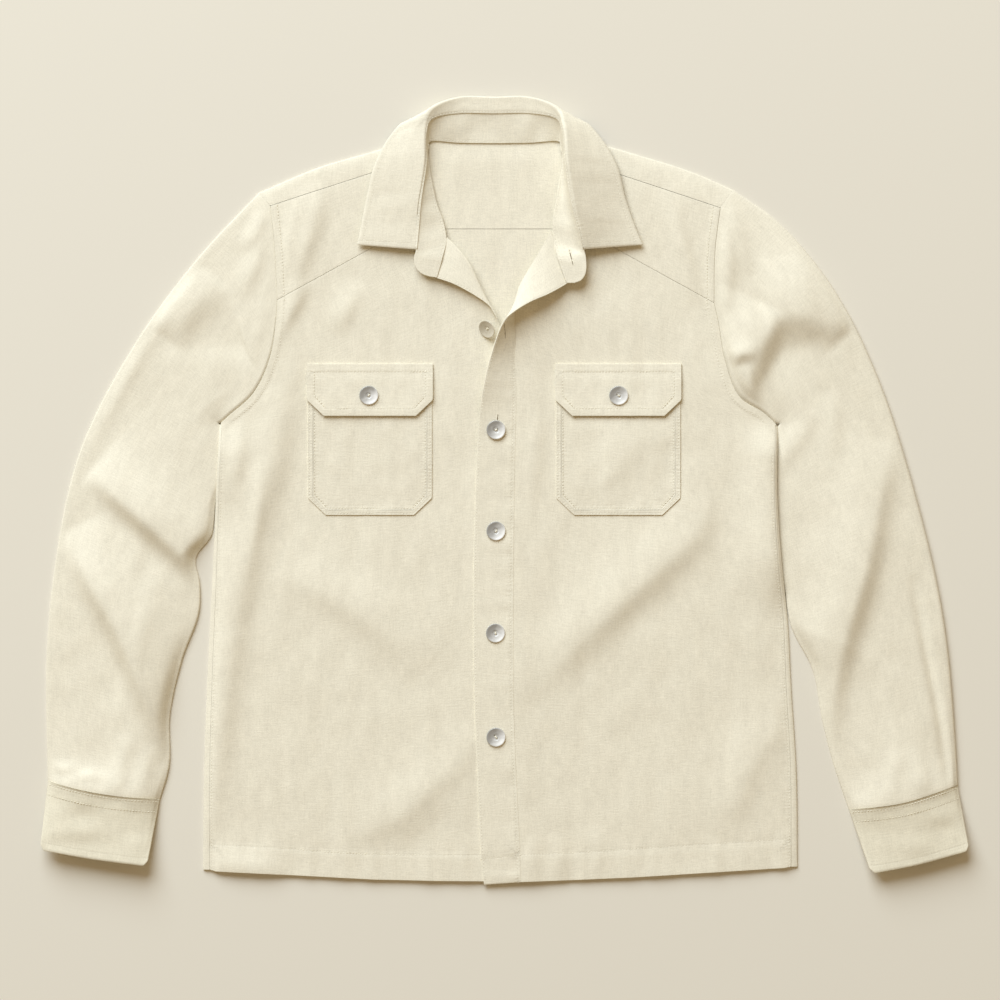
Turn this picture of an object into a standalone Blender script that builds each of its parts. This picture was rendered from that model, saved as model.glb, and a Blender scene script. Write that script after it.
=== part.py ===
"""An overshirt laid flat, face up, in the pieces that its maker cuts and sews.

Lengths are millimetres until a mesh is made. The garment lies on Z = 0 with its collar towards +Y, and
the origin is on the underside of the back. Right and left are the wearer's, so the right side is at -X.
Cloth is a wall between two matching sheets of points. The upper layer is a height field over the plan:
a low plateau, lower along the outline where the cloth folds under, with one row of a table for each fold.
"""
from collections import Counter, namedtuple
from math import atan2, cos, pi, radians, sin

import bmesh
import bpy
import numpy as np

# Driving dimensions
MM = 0.001
CLOTH = 1.3                # wall of one layer of shirting
BAND = 1.8                 # wall of collar, cuffs, placket and flaps, which are doubled
SEAM = 0.5                 # gap between two pieces at a seam
BODY_LIFT = 3.4            # underside of the fronts over the table
ARMHOLE_LIFT = 4.6         # the same at the armhole seams
SLEEVE_LIFT = 7.5          # the same along the sleeves
CUFF_LIFT = 7.6            # the same along the cuffs
LEAST_LIFT = 2.0           # no upper layer comes lower than this
EDGE_REACH = 14.0          # how far in from a folded edge the cloth still rises
ARMHOLE_REACH = 45.0
BODY_FOLD = 1.6            # outer radius of the folds along sides and shoulders
SLEEVE_FOLD = 3.4          # outer radius of the folds along a sleeve, once clear of the armhole
SLEEVE_FOLD_REACH = 150.0
LAP_LIFT = 2.0             # rise of the left front towards the placket, which lies on the right front
LAP_REACH = 32.0
STRIP_AT_PIT = 2.5         # width of the back that shows beside the side seam
STRIP_AT_HEM = 6.5
FLAP_STEP = 2.2            # rise of a flap over its pocket
FLAP_LIFT = 2.0            # how far a flap's free edge stands off the pocket
ROLL = 3.2                 # radius of the collar's roll
LEAST_RISE = 0.3           # shortest straight part of the fall below its roll
BUTTON_HOLE = 1.0          # radius of a thread hole
BUTTON_HOLE_SPACING = 3.4
BUTTON_SIDES = 12
BUTTON_HOLE_SIDES = 6
BUTTON_SHARE = 0.8         # share of the placket's width that a button reaches
SEAT_RINGS = (0, 5, 9)     # radii at which the cloth under a button is felt
SEAT_REACH = 13.5          # how far along the placket it is felt

# Sampling of the sheets
ARMHOLE_FRONT_STEPS = 8    # pit to front yoke seam
ARMHOLE_YOKE_STEPS = 10    # front yoke seam to shoulder seam
ARMHOLE_BACK_STEPS = 16    # pit to back yoke seam
SIDE_STEPS = 20
FRONT_COLUMNS = 18
YOKE_COLUMNS = 8
BACK_COLUMNS = 10
SLEEVE_ROWS = 17           # pit to cuff
CUFF_ROWS = 3
CURVE_STEPS = 24           # for each stretch of a smooth curve
EDGE_STEPS = 40            # along an edge that distances are taken from
ROLL_STEPS = 20            # along the line that a front turns back at
FOLD_STEPS = 10            # along the crest of a fold
SECTION_STEPS = 2          # between two rows of a table
STAND_COLUMNS = 3
STRIP_COLUMNS = 4
ROLL_POINTS = 6            # round the collar's roll
FALL_STOPS = (0.25, 0.5, 0.75, 1)
SEAT_STEPS = 8
SEAT_TURNS = 12
FOLD_ANGLES = tuple(radians(a) for a in (-90, -30, 30, 90))

# Outlines in plan, one short list of points for each edge
OUTLINE = {
    "right": {
        "armhole": [(-280.5, 75.5), (-272.5, 83), (-247, 106), (-230, 142), (-224, 178), (-222.5, 200)],
        "armhole_yoke": [(-222.5, 200), (-225, 250), (-229.5, 294)],
        "shoulder_tip": (-241, 307),
        "shoulder_fold": [(-241, 307), (-179, 333), (-121, 350), (-73.5, 366)],
        "shoulder_seam": [(-229.5, 294), (-72.6, 345)],
        "yoke_seam": [(-222.5, 200), (-60.6, 289)],
        "side": [(-297, -367), (-296, -281), (-292.5, -179), (-288, -89), (-284.5, -10), (-280.5, 75.5)],
        "hem": [(-290.5, -371), (-211, -375), (-125, -380), (12, -381.5)],
        "centre": [(12, -381.5), (10, -200), (10, 80), (8, 150), (-1, 177)],
        "roll": [(-1, 177), (-16, 206), (-34, 242), (-55, 265)],
        "sleeve_outer": [(-241, 307), (-300, 244), (-366, 154), (-421, 45), (-444, -59), (-453, -150),
                         (-452, -281)],
        "sleeve_inner": [(-283, 77), (-287, 6), (-289, -32), (-304, -58), (-300, -84), (-300, -106),
                         (-318, -160), (-330, -215), (-331, -268), (-340, -299)],
        "cuff_seam": [(-452, -281), (-425, -288), (-388, -295), (-340, -299)],
        "cuff_end": [(-459, -347), (-411, -359), (-352, -365.5)],
    },
    "left": {
        "armhole": [(277.5, 74.5), (265, 86), (240.4, 102), (224.8, 140), (217, 183), (213.7, 197)],
        "armhole_yoke": [(213.7, 197), (214.8, 250), (220, 292)],
        "shoulder_tip": (232.5, 310),
        "shoulder_fold": [(232.5, 310), (196, 326), (140, 344), (62.5, 366)],
        "shoulder_seam": [(220, 292), (63.4, 344)],
        "yoke_seam": [(213.7, 197), (56.6, 284)],
        "side": [(297.5, -364), (296, -267), (291, -187), (287.5, -120), (281, -59), (277, 4),
                 (277.5, 74.5)],
        "hem": [(291, -365.5), (283.7, -368), (132, -377.5), (20, -382)],
        "centre": [(20, -382), (18.6, -342), (13, -212), (12.5, -120), (14, 41), (15.5, 115), (15, 150)],
        "roll": [(15, 150), (13.5, 182), (18, 208), (33, 236), (51, 265)],
        "sleeve_outer": [(232.5, 310), (274, 281), (318.6, 232), (347.6, 187), (376.6, 125), (412, 17),
                         (444, -123), (455, -240), (457.5, -285)],
        "sleeve_inner": [(281, 76.5), (281.5, 4), (285.5, -59), (292, -122), (313, -171), (322, -219),
                         (333, -262), (349, -309.5)],
        "cuff_seam": [(457.5, -285), (397, -303.6), (349, -309.5)],
        "cuff_end": [(468.5, -350), (409, -366), (370.3, -373)],
    },
}
SIGN = {"right": -1, "left": 1}

# Folds of the upper layer: a curve from start over middle to end, the height of its crest, and how far
# its slopes reach on the left and on the right of that way
Fold = namedtuple("Fold", "start middle end rise left right")
FOLD_END = 0.7             # how bluntly a fold ends: 1 is half a sine wave, less is blunter
BODY_FOLDS = {
    "right": [
        Fold((-228, 120), (-229, 45), (-228, -30), 3.0, 16, 14),
        Fold((-260, 60), (-264, -60), (-286, -290), 3.2, 18, 14),
        Fold((-212, -68), (-148, -102), (-88, -152), 5.0, 20, 15),
        Fold((-148, -326), (-72, -280), (-36, -240), 5.0, 14, 20),
        Fold((-188, 314), (-212, 236), (-226, 172), 3.0, 12, 16),
        Fold((-146, 212), (-158, 192), (-172, 168), 2.2, 12, 14),
        Fold((-58, 268), (-28, 228), (6, 166), 6.0, 14, 24),
    ],
    "left": [
        Fold((204, -6), (100, -108), (18, -190), 6.0, 15, 22),
        Fold((270, -232), (238, -294), (226, -328), 3.0, 12, 16),
        Fold((30, 82), (30, 30), (28, -24), 1.6, 14, 14),
        Fold((184, 312), (200, 262), (206, 206), 2.5, 12, 14),
    ],
}
SLEEVE_FOLDS = {
    "right": [
        Fold((-248, 276), (-290, 234), (-340, 175), 3.0, 14, 16),
        Fold((-352, 188), (-388, 128), (-416, 66), 3.4, 18, 14),
        Fold((-278, 212), (-286, 180), (-290, 140), -4.0, 18, 18),
        Fold((-262, 226), (-246, 196), (-238, 160), 2.4, 12, 14),
        Fold((-396, 24), (-336, -18), (-286, -60), 7.0, 16, 20),
        Fold((-426, -2), (-370, -46), (-310, -92), -4.0, 16, 18),
        Fold((-418, -48), (-372, -118), (-330, -250), 6.0, 18, 18),
        Fold((-442, -78), (-398, -160), (-352, -272), -3.0, 18, 18),
    ],
    "left": [
        Fold((240, 170), (286, 202), (336, 178), 4.0, 14, 16),
        Fold((336, 158), (290, 180), (250, 126), -4.5, 14, 14),
        Fold((232, 288), (250, 258), (262, 226), 2.2, 12, 12),
        Fold((314, 226), (326, 196), (340, 158), 2.6, 12, 14),
        Fold((366, 12), (350, -78), (322, -240), 7.0, 20, 18),
        Fold((402, 0), (384, -92), (350, -250), -3.4, 18, 18),
        Fold((420, -100), (436, -180), (448, -262), 2.4, 10, 12),
    ],
}

# Collar sections over one half, from the middle of the back to the stand's end. The seam lies on the
# neckline, the roll is the highest line, and the edge is the free edge of the fall. Share is how much
# of the way from seam to roll is stand, and lean moves the section towards +X.
Station = namedtuple("Station", "seam roll edge share lean")
COLLAR = [
    Station((0, 357), (0, 402, 15), (0, 374, 2.4), 0.70, -5.5),
    Station((36, 357.5), (34, 402, 16), (37, 375, 2.6), 0.70, -5.5),
    Station((63, 359), (61, 391, 21), (84, 379, 6), 0.75, -5.5),
    Station((66.5, 350), (69, 371, 29), (104, 364, 9), 0.85, -5.5),
    Station((67, 338), (71, 338, 34), (121, 334, 12), 0.90, -4.5),
    Station((60.5, 300), (78, 300, 30), (129.5, 300, 11), 0.93, -4.0),
    Station((55, 278), (82, 274, 25), (137, 272.5, 10), 0.93, -2.0),
    Station((54, 259), (85, 250, 19), (142.6, 254.7, 9), 0.93, 0.0),
]
BACK_STATIONS = 3          # so many of them stand on the back yoke, the rest on the fronts
NECK_CLEAR = 4.0           # a station this close to a seam's end is left out of the neckline
# The stand runs on past the fall as a tab: seam and top edge, with their heights
Tab = namedtuple("Tab", "seam top")
TAB = [
    Tab((58.5, 241, 12), (85.8, 238, 18)),
    Tab((62.5, 229, 15), (82, 227, 18)),
    Tab((64.5, 222, 16.5), (72, 219.5, 17)),
]

# Facing of the right front, from the neck to the break: the line it turns at and its free edge
Turn = namedtuple("Turn", "roll edge")
FACING = [
    Turn((-52.5, 263), (-61.2, 222, 17.5)),
    Turn((-40, 248), (-45, 215, 18)),
    Turn((-27, 227), (-25, 204, 18)),
    Turn((-14, 202), (-10, 193, 17)),
    Turn((-5, 184), (-2.5, 181, 15)),
]

# Placket sections from hem to neck: where the seam is, the free edge, and how far that edge stands up
Strip = namedtuple("Strip", "seam_y edge lift")
PLACKET = [
    Strip(-382, (-16, -384.5), 0),
    Strip(-342, (-19.4, -346), 0),
    Strip(-212, (-25, -212), 0),
    Strip(-120, (-26.5, -112), 0),
    Strip(-31, (-25.5, -31), 0),
    Strip(70, (-21.5, 72), 0.6),
    Strip(115, (-15.5, 118), 5),
    Strip(150, (-8, 148), 12),
    Strip(182, (2, 175), 17),
    Strip(208, (14, 187), 16),
    Strip(227, (31, 197.5), 14),
    Strip(246, (50, 206), 12),
    Strip(263, (63, 218.5), 11),
]
PLACKET_FOLDED = 8         # from this section on, the strip lies back over the left front

# Pockets and flaps: the middle of the flap's top edge, with sizes shared by both sides
POCKET_MIDDLE = {"right": (-130, 136), "left": (118.2, 136)}
POCKET_WIDTH = 124.0
POCKET_TOP = 22.0          # from the flap's top edge down to the pocket's mouth
POCKET_BOTTOM = 151.0
POCKET_CORNER = (18.0, 17.0)
POCKET_ROWS = (46, 70, 94, 114)
FLAP_WIDTH = 126.0
FLAP_DEPTH = 52.0
FLAP_CORNER = (17.0, 16.0)
FLAP_ROWS = (0, 9, 18, 27)
FLAP_CLIMB = 18.0          # from its seam to where it lies on the pocket
FLAP_FREE = 14.0           # from its seam to where it starts to stand off
POCKET_COLUMNS = 6
POCKET_GAP = 0.7           # between a pocket and its front

# Button section, from the middle of its underside round the rim to the middle of its dished face
Turned = namedtuple("Turned", "radius height")
BUTTON_PROFILE = [
    Turned(0, 0),
    Turned(6, 0),
    Turned(8.7, 0.5),
    Turned(9.5, 1.6),
    Turned(9, 2.7),
    Turned(8.1, 3),
    Turned(6.3, 2.2),
    Turned(3.6, 1.5),
    Turned(0, 1.4),
]
BUTTON_RADIUS = max(point.radius for point in BUTTON_PROFILE)
BUTTON_HEIGHT = max(point.height for point in BUTTON_PROFILE)

# Buttons: place, tilt in degrees, and the way that the tilt turns about
Button = namedtuple("Button", "name x y tilt about")
BUTTONS = [
    Button("button_front_1", -13.5, 172, 16, (0.58, -0.81)),
    Button("button_front_2", -4, 70, 0, (1, 0)),
    Button("button_front_3", -4, -31, 0, (1, 0)),
    Button("button_front_4", -4.5, -133, 0, (1, 0)),
    Button("button_front_5", -4, -237, 0, (1, 0)),
    Button("button_flap_right", -131, 104.5, 0, (1, 0)),
    Button("button_flap_left", 118.5, 104.3, 0, (1, 0)),
]
ON_RIGHT_FRONT = ("button_front_1",)

# Finishes: colour, roughness
ECRU = ("ecru_cloth", (0.80, 0.74, 0.60, 1.0), 0.9)
SHELL = ("shell_button", (0.72, 0.70, 0.66, 1.0), 0.25)


def tangents(points, spacing):
    """Slopes of a smooth curve through points that lie at the given spacing."""
    steps = np.diff(points, axis=0) / spacing[:, None]
    inner = (steps[:-1] * spacing[1:, None] + steps[1:] * spacing[:-1, None])
    inner = inner / (spacing[1:] + spacing[:-1])[:, None]
    return np.vstack([steps[:1], inner, steps[-1:]])


def through(points, spacing, count):
    """Points of a smooth curve, count for each stretch between two of the given points."""
    slopes = tangents(points, spacing)
    t = (np.arange(count) / count)[:, None]
    stretches = []
    for k, length in enumerate(spacing):
        start, end = points[k], points[k + 1]
        stretches.append((2 * t**3 - 3 * t**2 + 1) * start + (t**3 - 2 * t**2 + t) * length * slopes[k]
                         + (3 * t**2 - 2 * t**3) * end + (t**3 - t**2) * length * slopes[k + 1])
    return np.vstack(stretches + [points[-1:]])


def spaced(line, steps):
    """The line again, as points at equal distances along it."""
    lengths = np.concatenate([[0], np.cumsum(np.linalg.norm(np.diff(line, axis=0), axis=1))])
    wanted = np.linspace(0, lengths[-1], steps + 1)
    return np.stack([np.interp(wanted, lengths, line[:, k]) for k in range(line.shape[1])], axis=1)


def smooth_line(knots, steps):
    """Equal steps along a smooth curve through a few knots."""
    points = np.array(knots, float)
    spacing = np.linalg.norm(np.diff(points, axis=0), axis=1)
    return spaced(through(points, spacing, CURVE_STEPS), steps)


def sections(rows, count=SECTION_STEPS):
    """A table's rows with count steps between each two of them, smoothly."""
    points = np.array(rows, float)
    return through(points, np.ones(len(points) - 1), count)


def joined(*lines):
    """Lines end to end, without the doubled points."""
    return np.vstack([lines[0]] + [line[1:] for line in lines[1:]])


def patch(low, high, first, last):
    """A grid of plan points inside four edges: rows from low to high, columns from first to last."""
    u = np.linspace(0, 1, len(low))[None, :, None]
    v = np.linspace(0, 1, len(first))[:, None, None]
    corners = ((1 - u) * (1 - v) * low[0] + u * (1 - v) * low[-1]
               + (1 - u) * v * high[0] + u * v * high[-1])
    return (1 - v) * low[None] + v * high[None] + (1 - u) * first[:, None] + u * last[:, None] - corners


def towards(points, others, distance):
    """Points moved a distance towards others."""
    way = others - points
    return points + way * (distance / np.linalg.norm(way, axis=-1, keepdims=True))


def drawn_in(grid, rows=(True, True), columns=(True, True)):
    """A grid whose chosen outer rows and columns are half a seam's gap further in."""
    plan = grid.copy()
    for chosen, edge, inside in ((rows[0], 0, 1), (rows[1], -1, -2)):
        if chosen:
            plan[edge] = towards(plan[edge], plan[inside], SEAM / 2)
    for chosen, edge, inside in ((columns[0], 0, 1), (columns[1], -1, -2)):
        if chosen:
            plan[:, edge] = towards(plan[:, edge], plan[:, inside], SEAM / 2)
    return plan


def nearest(points, line):
    """Distance of points from a line, the share of the way along it, and the side: 1 is left."""
    start = line[:-1]
    way = line[1:] - start
    off = points[:, None, :] - start
    share = np.clip((off * way).sum(-1) / (way * way).sum(-1), 0, 1)
    off = off - share[..., None] * way
    distance = np.linalg.norm(off, axis=-1)
    best = distance.argmin(axis=1)
    pick = np.arange(len(points))
    step = way[best]
    side = np.sign(step[:, 0] * off[pick, best, 1] - step[:, 1] * off[pick, best, 0])
    return distance[pick, best], (best + share[pick, best]) / len(way), side


def fold_rise(points, folds):
    """Height that the folds of a table add at plan points."""
    total = np.zeros(len(points))
    for fold in folds:
        line = smooth_line([fold.start, fold.middle, fold.end], FOLD_STEPS)
        distance, along, side = nearest(points, line)
        width = np.where(side > 0, fold.left, fold.right)
        ends = np.sin(pi * np.clip(along, 0, 1)) ** FOLD_END
        total += fold.rise * ends * np.exp(-(distance / width) ** 2)
    return total


def edge_lines(side):
    """The folded edges on one side of the garment, as lines."""
    names = ("side", "shoulder_fold", "sleeve_outer", "sleeve_inner")
    return [smooth_line(OUTLINE[side][name], EDGE_STEPS) for name in names]


def armhole(side):
    """Points of the armhole from the pit to the tip of the shoulder, shared by all pieces there."""
    edges = OUTLINE[side]
    front = smooth_line(edges["armhole"], ARMHOLE_FRONT_STEPS)
    yoke = smooth_line(edges["armhole_yoke"], ARMHOLE_YOKE_STEPS)
    return np.vstack([front, yoke[1:], [edges["shoulder_tip"]]])


EDGES = {side: edge_lines(side) for side in OUTLINE}
ARMHOLE = {side: armhole(side) for side in OUTLINE}


def upper_lift(points, side, plateau, folds, fold_radius):
    """Height of an upper layer's underside: plateau, lower towards folded edges, with its folds."""
    from_edge = np.min([nearest(points, line)[0] for line in EDGES[side]], axis=0)
    from_armhole = nearest(points, ARMHOLE[side])[0]
    edge = 2 * fold_radius - CLOTH
    level = plateau + (ARMHOLE_LIFT - plateau) * np.exp(-(from_armhole / ARMHOLE_REACH) ** 2)
    height = edge + (level - edge) * (1 - np.exp(-from_edge / EDGE_REACH))
    fade = (1 - np.exp(-(from_edge / EDGE_REACH) ** 2)) * (1 - np.exp(-(from_armhole / EDGE_REACH) ** 2))
    return np.maximum(height + fade * fold_rise(points, folds), LEAST_LIFT)


def body_lift(plan, side):
    """Height of the fronts' underside over plan points."""
    points = np.reshape(plan, (-1, 2))
    height = upper_lift(points, side, BODY_LIFT, BODY_FOLDS[side], BODY_FOLD)
    if side == "left":
        lap = np.array(OUTLINE[side]["centre"] + OUTLINE[side]["roll"][1:], float)
        height = height + LAP_LIFT * np.exp(-(nearest(points, lap)[0] / LAP_REACH) ** 2)
    return height.reshape(np.shape(plan)[:-1])


def with_height(plan, height):
    """Plan points with a height each."""
    return np.concatenate([plan, np.broadcast_to(height, plan.shape[:-1])[..., None]], axis=-1)


def faces_of(index, ring=False):
    """Four-sided faces of a grid of point numbers, closed round each row if it is a ring."""
    quads = []
    for low, high in zip(index, index[1:]):
        for k in range(len(low) if ring else len(low) - 1):
            after = (k + 1) % len(low)
            quads.append((int(low[k]), int(low[after]), int(high[after]), int(high[k])))
    return quads


def numbered(shape, start=0):
    """Point numbers of a grid."""
    return start + np.arange(shape[0] * shape[1]).reshape(shape)


def finish_of(name, colour, roughness):
    """A material with the given colour and roughness, made once."""
    material = bpy.data.materials.get(name) or bpy.data.materials.new(name)
    material.use_nodes = True
    shader = material.node_tree.nodes["Principled BSDF"]
    shader.inputs["Base Color"].default_value = colour
    shader.inputs["Roughness"].default_value = roughness
    shader.inputs["Metallic"].default_value = 0.0
    return material


def add_object(name, mesh, finish):
    """An object of the scene with its material, shaded smooth."""
    mesh.shade_smooth()
    mesh.materials.append(finish_of(*finish))
    thing = bpy.data.objects.new(name, mesh)
    bpy.context.scene.collection.objects.link(thing)
    return thing


def wall(name, upper, lower, faces):
    """A closed piece of cloth between two matching sheets of points."""
    upper = np.reshape(upper, (-1, 3))
    lower = np.reshape(lower, (-1, 3))
    count = len(upper)
    ways = Counter((a, b) for face in faces for a, b in zip(face, face[1:] + face[:1]))
    rim = [(b, a, a + count, b + count) for a, b in ways if (b, a) not in ways]
    back = [tuple(k + count for k in reversed(face)) for face in faces]
    mesh = bpy.data.meshes.new(name)
    mesh.from_pydata((np.vstack([upper, lower]) * MM).tolist(), [], faces + back + rim)
    shape = bmesh.new()
    shape.from_mesh(mesh)
    bmesh.ops.recalc_face_normals(shape, faces=shape.faces)
    shape.to_mesh(mesh)
    shape.free()
    return add_object(name, mesh, ECRU)


def panel(name, plan, lift, thickness):
    """A sheet of cloth over plan points, with the heights of its underside."""
    sheet = with_height(plan, lift)
    faces = faces_of(numbered(plan.shape[:2]))
    return wall(name, sheet + (0, 0, thickness), sheet, faces)


def band(name, grid, thickness):
    """A sheet of cloth whose middle runs through a grid of points in space."""
    across = np.gradient(grid, axis=1)
    along = np.gradient(grid, axis=0)
    normal = np.cross(across, along)
    normal *= thickness / 2 / np.linalg.norm(normal, axis=-1, keepdims=True)
    return wall(name, grid + normal, grid - normal, faces_of(numbered(grid.shape[:2])))


def ruled(rows, columns):
    """A grid of straight lines, one for each row that holds its two end points."""
    steps = np.linspace(0, 1, columns + 1)[None, :, None]
    return rows[:, None, :3] * (1 - steps) + rows[:, None, 3:] * steps


def fold_points(edge, inwards, radius, size):
    """Points round a folded edge from the underside up: size is the radius that they lie on."""
    hub = edge + inwards * radius
    return [(*(hub - inwards * size * cos(a)), radius + size * sin(a)) for a in FOLD_ANGLES]


def unit(way):
    """A way of length 1."""
    return way / np.linalg.norm(way)


def tube(name, plan, lift, radius, thickness, open_rows=0):
    """A flattened tube: a flat underside, a round fold at each edge and a top at the given heights.

    The plan's rows run from one folded edge to the other, and the radius of the folds is given for both.
    On the first open_rows rows the second edge is not folded, and its two layers are left apart.
    """
    count = plan.shape[1]
    sheets = []
    for shrink, low, high in ((0, 0, thickness), (thickness, thickness, 0)):
        chain, closing = [], []
        for k, (row, heights, bends) in enumerate(zip(plan, lift, radius)):
            first = fold_points(row[0], unit(row[1] - row[0]), bends[0], bends[0] - shrink)
            last = fold_points(row[-1], unit(row[-2] - row[-1]), bends[1], bends[1] - shrink)
            if k < open_rows:
                last = [(*row[-1], low), (*row[-1], heights[-1] + high)]
            top = [(*row[c], heights[c] + high) for c in range(count - 2, 0, -1)]
            bottom = [(*row[c], low) for c in range(1, count - 1)]
            chain.append([last[-1]] + top + first[::-1] + bottom + [last[0]])
            if k >= open_rows:
                closing.append(last[1:-1])
        sheets.append((np.array(chain), np.array(closing)))
    chain_shape, closing_shape = sheets[0][0].shape[:2], sheets[0][1].shape[:2]
    chain = numbered(chain_shape)
    closing = numbered(closing_shape, chain.size)
    folded = np.hstack([chain[open_rows:, -1:], closing, chain[open_rows:, :1]])
    points = [np.vstack([c.reshape(-1, 3), d.reshape(-1, 3)]) for c, d in sheets]
    return wall(name, points[0], points[1], faces_of(chain) + faces_of(folded))


def smooth_step(share):
    """A soft rise from 0 to 1."""
    share = np.clip(share, 0, 1)
    return share * share * (3 - 2 * share)


def side_seam(side, steps):
    """The seam beside the folded edge of the body, from the hem to the pit."""
    edge = smooth_line(OUTLINE[side]["side"], steps)
    width = np.linspace(STRIP_AT_HEM, STRIP_AT_PIT, steps + 1)
    return edge - np.stack([SIGN[side] * width, 0 * width], axis=1)


def neck_line(side, low, high, steps):
    """The neckline from one seam's end up to the next, past the collar stations between them."""
    between = [s for s in reversed(COLLAR) if low[1] + NECK_CLEAR < s.seam[1] < high[1] - NECK_CLEAR]
    knots = [(SIGN[side] * s.seam[0] + s.lean, s.seam[1]) for s in between]
    return smooth_line([low] + knots + [high], steps)


def lap_line(side):
    """The edge of a front from the hem up to where its collar starts."""
    edges = OUTLINE[side]
    return joined(smooth_line(edges["centre"], EDGE_STEPS), smooth_line(edges["roll"], ROLL_STEPS))


def make_front(side):
    """One front panel, from hem to yoke seam."""
    edges = OUTLINE[side]
    hem = smooth_line(edges["hem"], FRONT_COLUMNS)
    outer = joined(side_seam(side, SIDE_STEPS), ARMHOLE[side][:ARMHOLE_FRONT_STEPS + 1])
    top = smooth_line(edges["yoke_seam"], FRONT_COLUMNS)
    hem[0] = outer[0]
    neck = np.array([edges["roll"][-1], edges["yoke_seam"][-1]], float)
    inner = spaced(joined(lap_line(side), neck), len(outer) - 1)
    plan = drawn_in(patch(hem, top, outer, inner), rows=(False, True))
    return panel("front_" + side, plan, body_lift(plan, side), CLOTH)


def make_front_yoke(side):
    """The panel between the slanted chest seam and the shoulder seam."""
    edges = OUTLINE[side]
    low = smooth_line(edges["yoke_seam"], YOKE_COLUMNS)
    high = smooth_line(edges["shoulder_seam"], YOKE_COLUMNS)
    outer = ARMHOLE[side][ARMHOLE_FRONT_STEPS:-1]
    inner = neck_line(side, edges["yoke_seam"][-1], edges["shoulder_seam"][-1], ARMHOLE_YOKE_STEPS)
    plan = drawn_in(patch(low, high, outer, inner))
    return panel("front_yoke_" + side, plan, body_lift(plan, side), CLOTH)


def make_back():
    """The back, flat on the table, folded over to the front along both sides below the armholes."""
    half = SIDE_STEPS // 2
    edge, seam, hole = {}, {}, {}
    for side in OUTLINE:
        edge[side] = smooth_line(OUTLINE[side]["side"], half)
        seam[side] = side_seam(side, half)
        hole[side] = ARMHOLE[side][:ARMHOLE_BACK_STEPS + 1]
    hem = OUTLINE["right"]["hem"][:-1] + OUTLINE["left"]["hem"][::-1]
    low = smooth_line([edge["right"][0], *hem, edge["left"][0]], BACK_COLUMNS)
    high = smooth_line([hole["right"][-1], hole["left"][-1]], BACK_COLUMNS)
    plan = patch(low, high, joined(edge["right"], hole["right"]), joined(edge["left"], hole["left"]))
    plan = drawn_in(plan, rows=(False, True), columns=(False, False))
    plan[half + 1:] = drawn_in(plan[half + 1:], rows=(False, False))
    bends = BODY_FOLD - np.array([0, CLOTH])
    sheets = [[], []]
    for row in range(half + 1):
        for sheet, size, level in zip(sheets, bends, (0, CLOTH)):
            strips = {}
            for side, column in (("right", 0), ("left", -1)):
                inwards = np.array([-SIGN[side], 0.0])
                seam_point = seam[side][row] - inwards * SEAM / 2
                lift = body_lift(seam_point[None], side)[0]
                strip = [(*seam_point, lift + (CLOTH if level == 0 else 0))]
                strips[side] = fold_points(plan[row, column], inwards, BODY_FOLD, size) + strip
            middle = [(*plan[row, k], level) for k in range(1, BACK_COLUMNS)]
            sheet.append(strips["right"][::-1] + middle + strips["left"])
    lower = numbered((half + 1, len(sheets[0][0])))
    wrap = len(FOLD_ANGLES) + 1
    shared = lower[-1][wrap - 1:1 - wrap]
    upper_plan = plan[half + 1:]
    upper = numbered(upper_plan.shape[:2], lower.size)
    faces = faces_of(lower) + faces_of(np.vstack([shared, upper]))
    points = []
    for sheet, level in zip(sheets, (0, CLOTH)):
        flat = with_height(upper_plan, level).reshape(-1, 3)
        points.append(np.vstack([np.reshape(sheet, (-1, 3)), flat]))
    return wall("back", points[0], points[1], faces)


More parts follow.
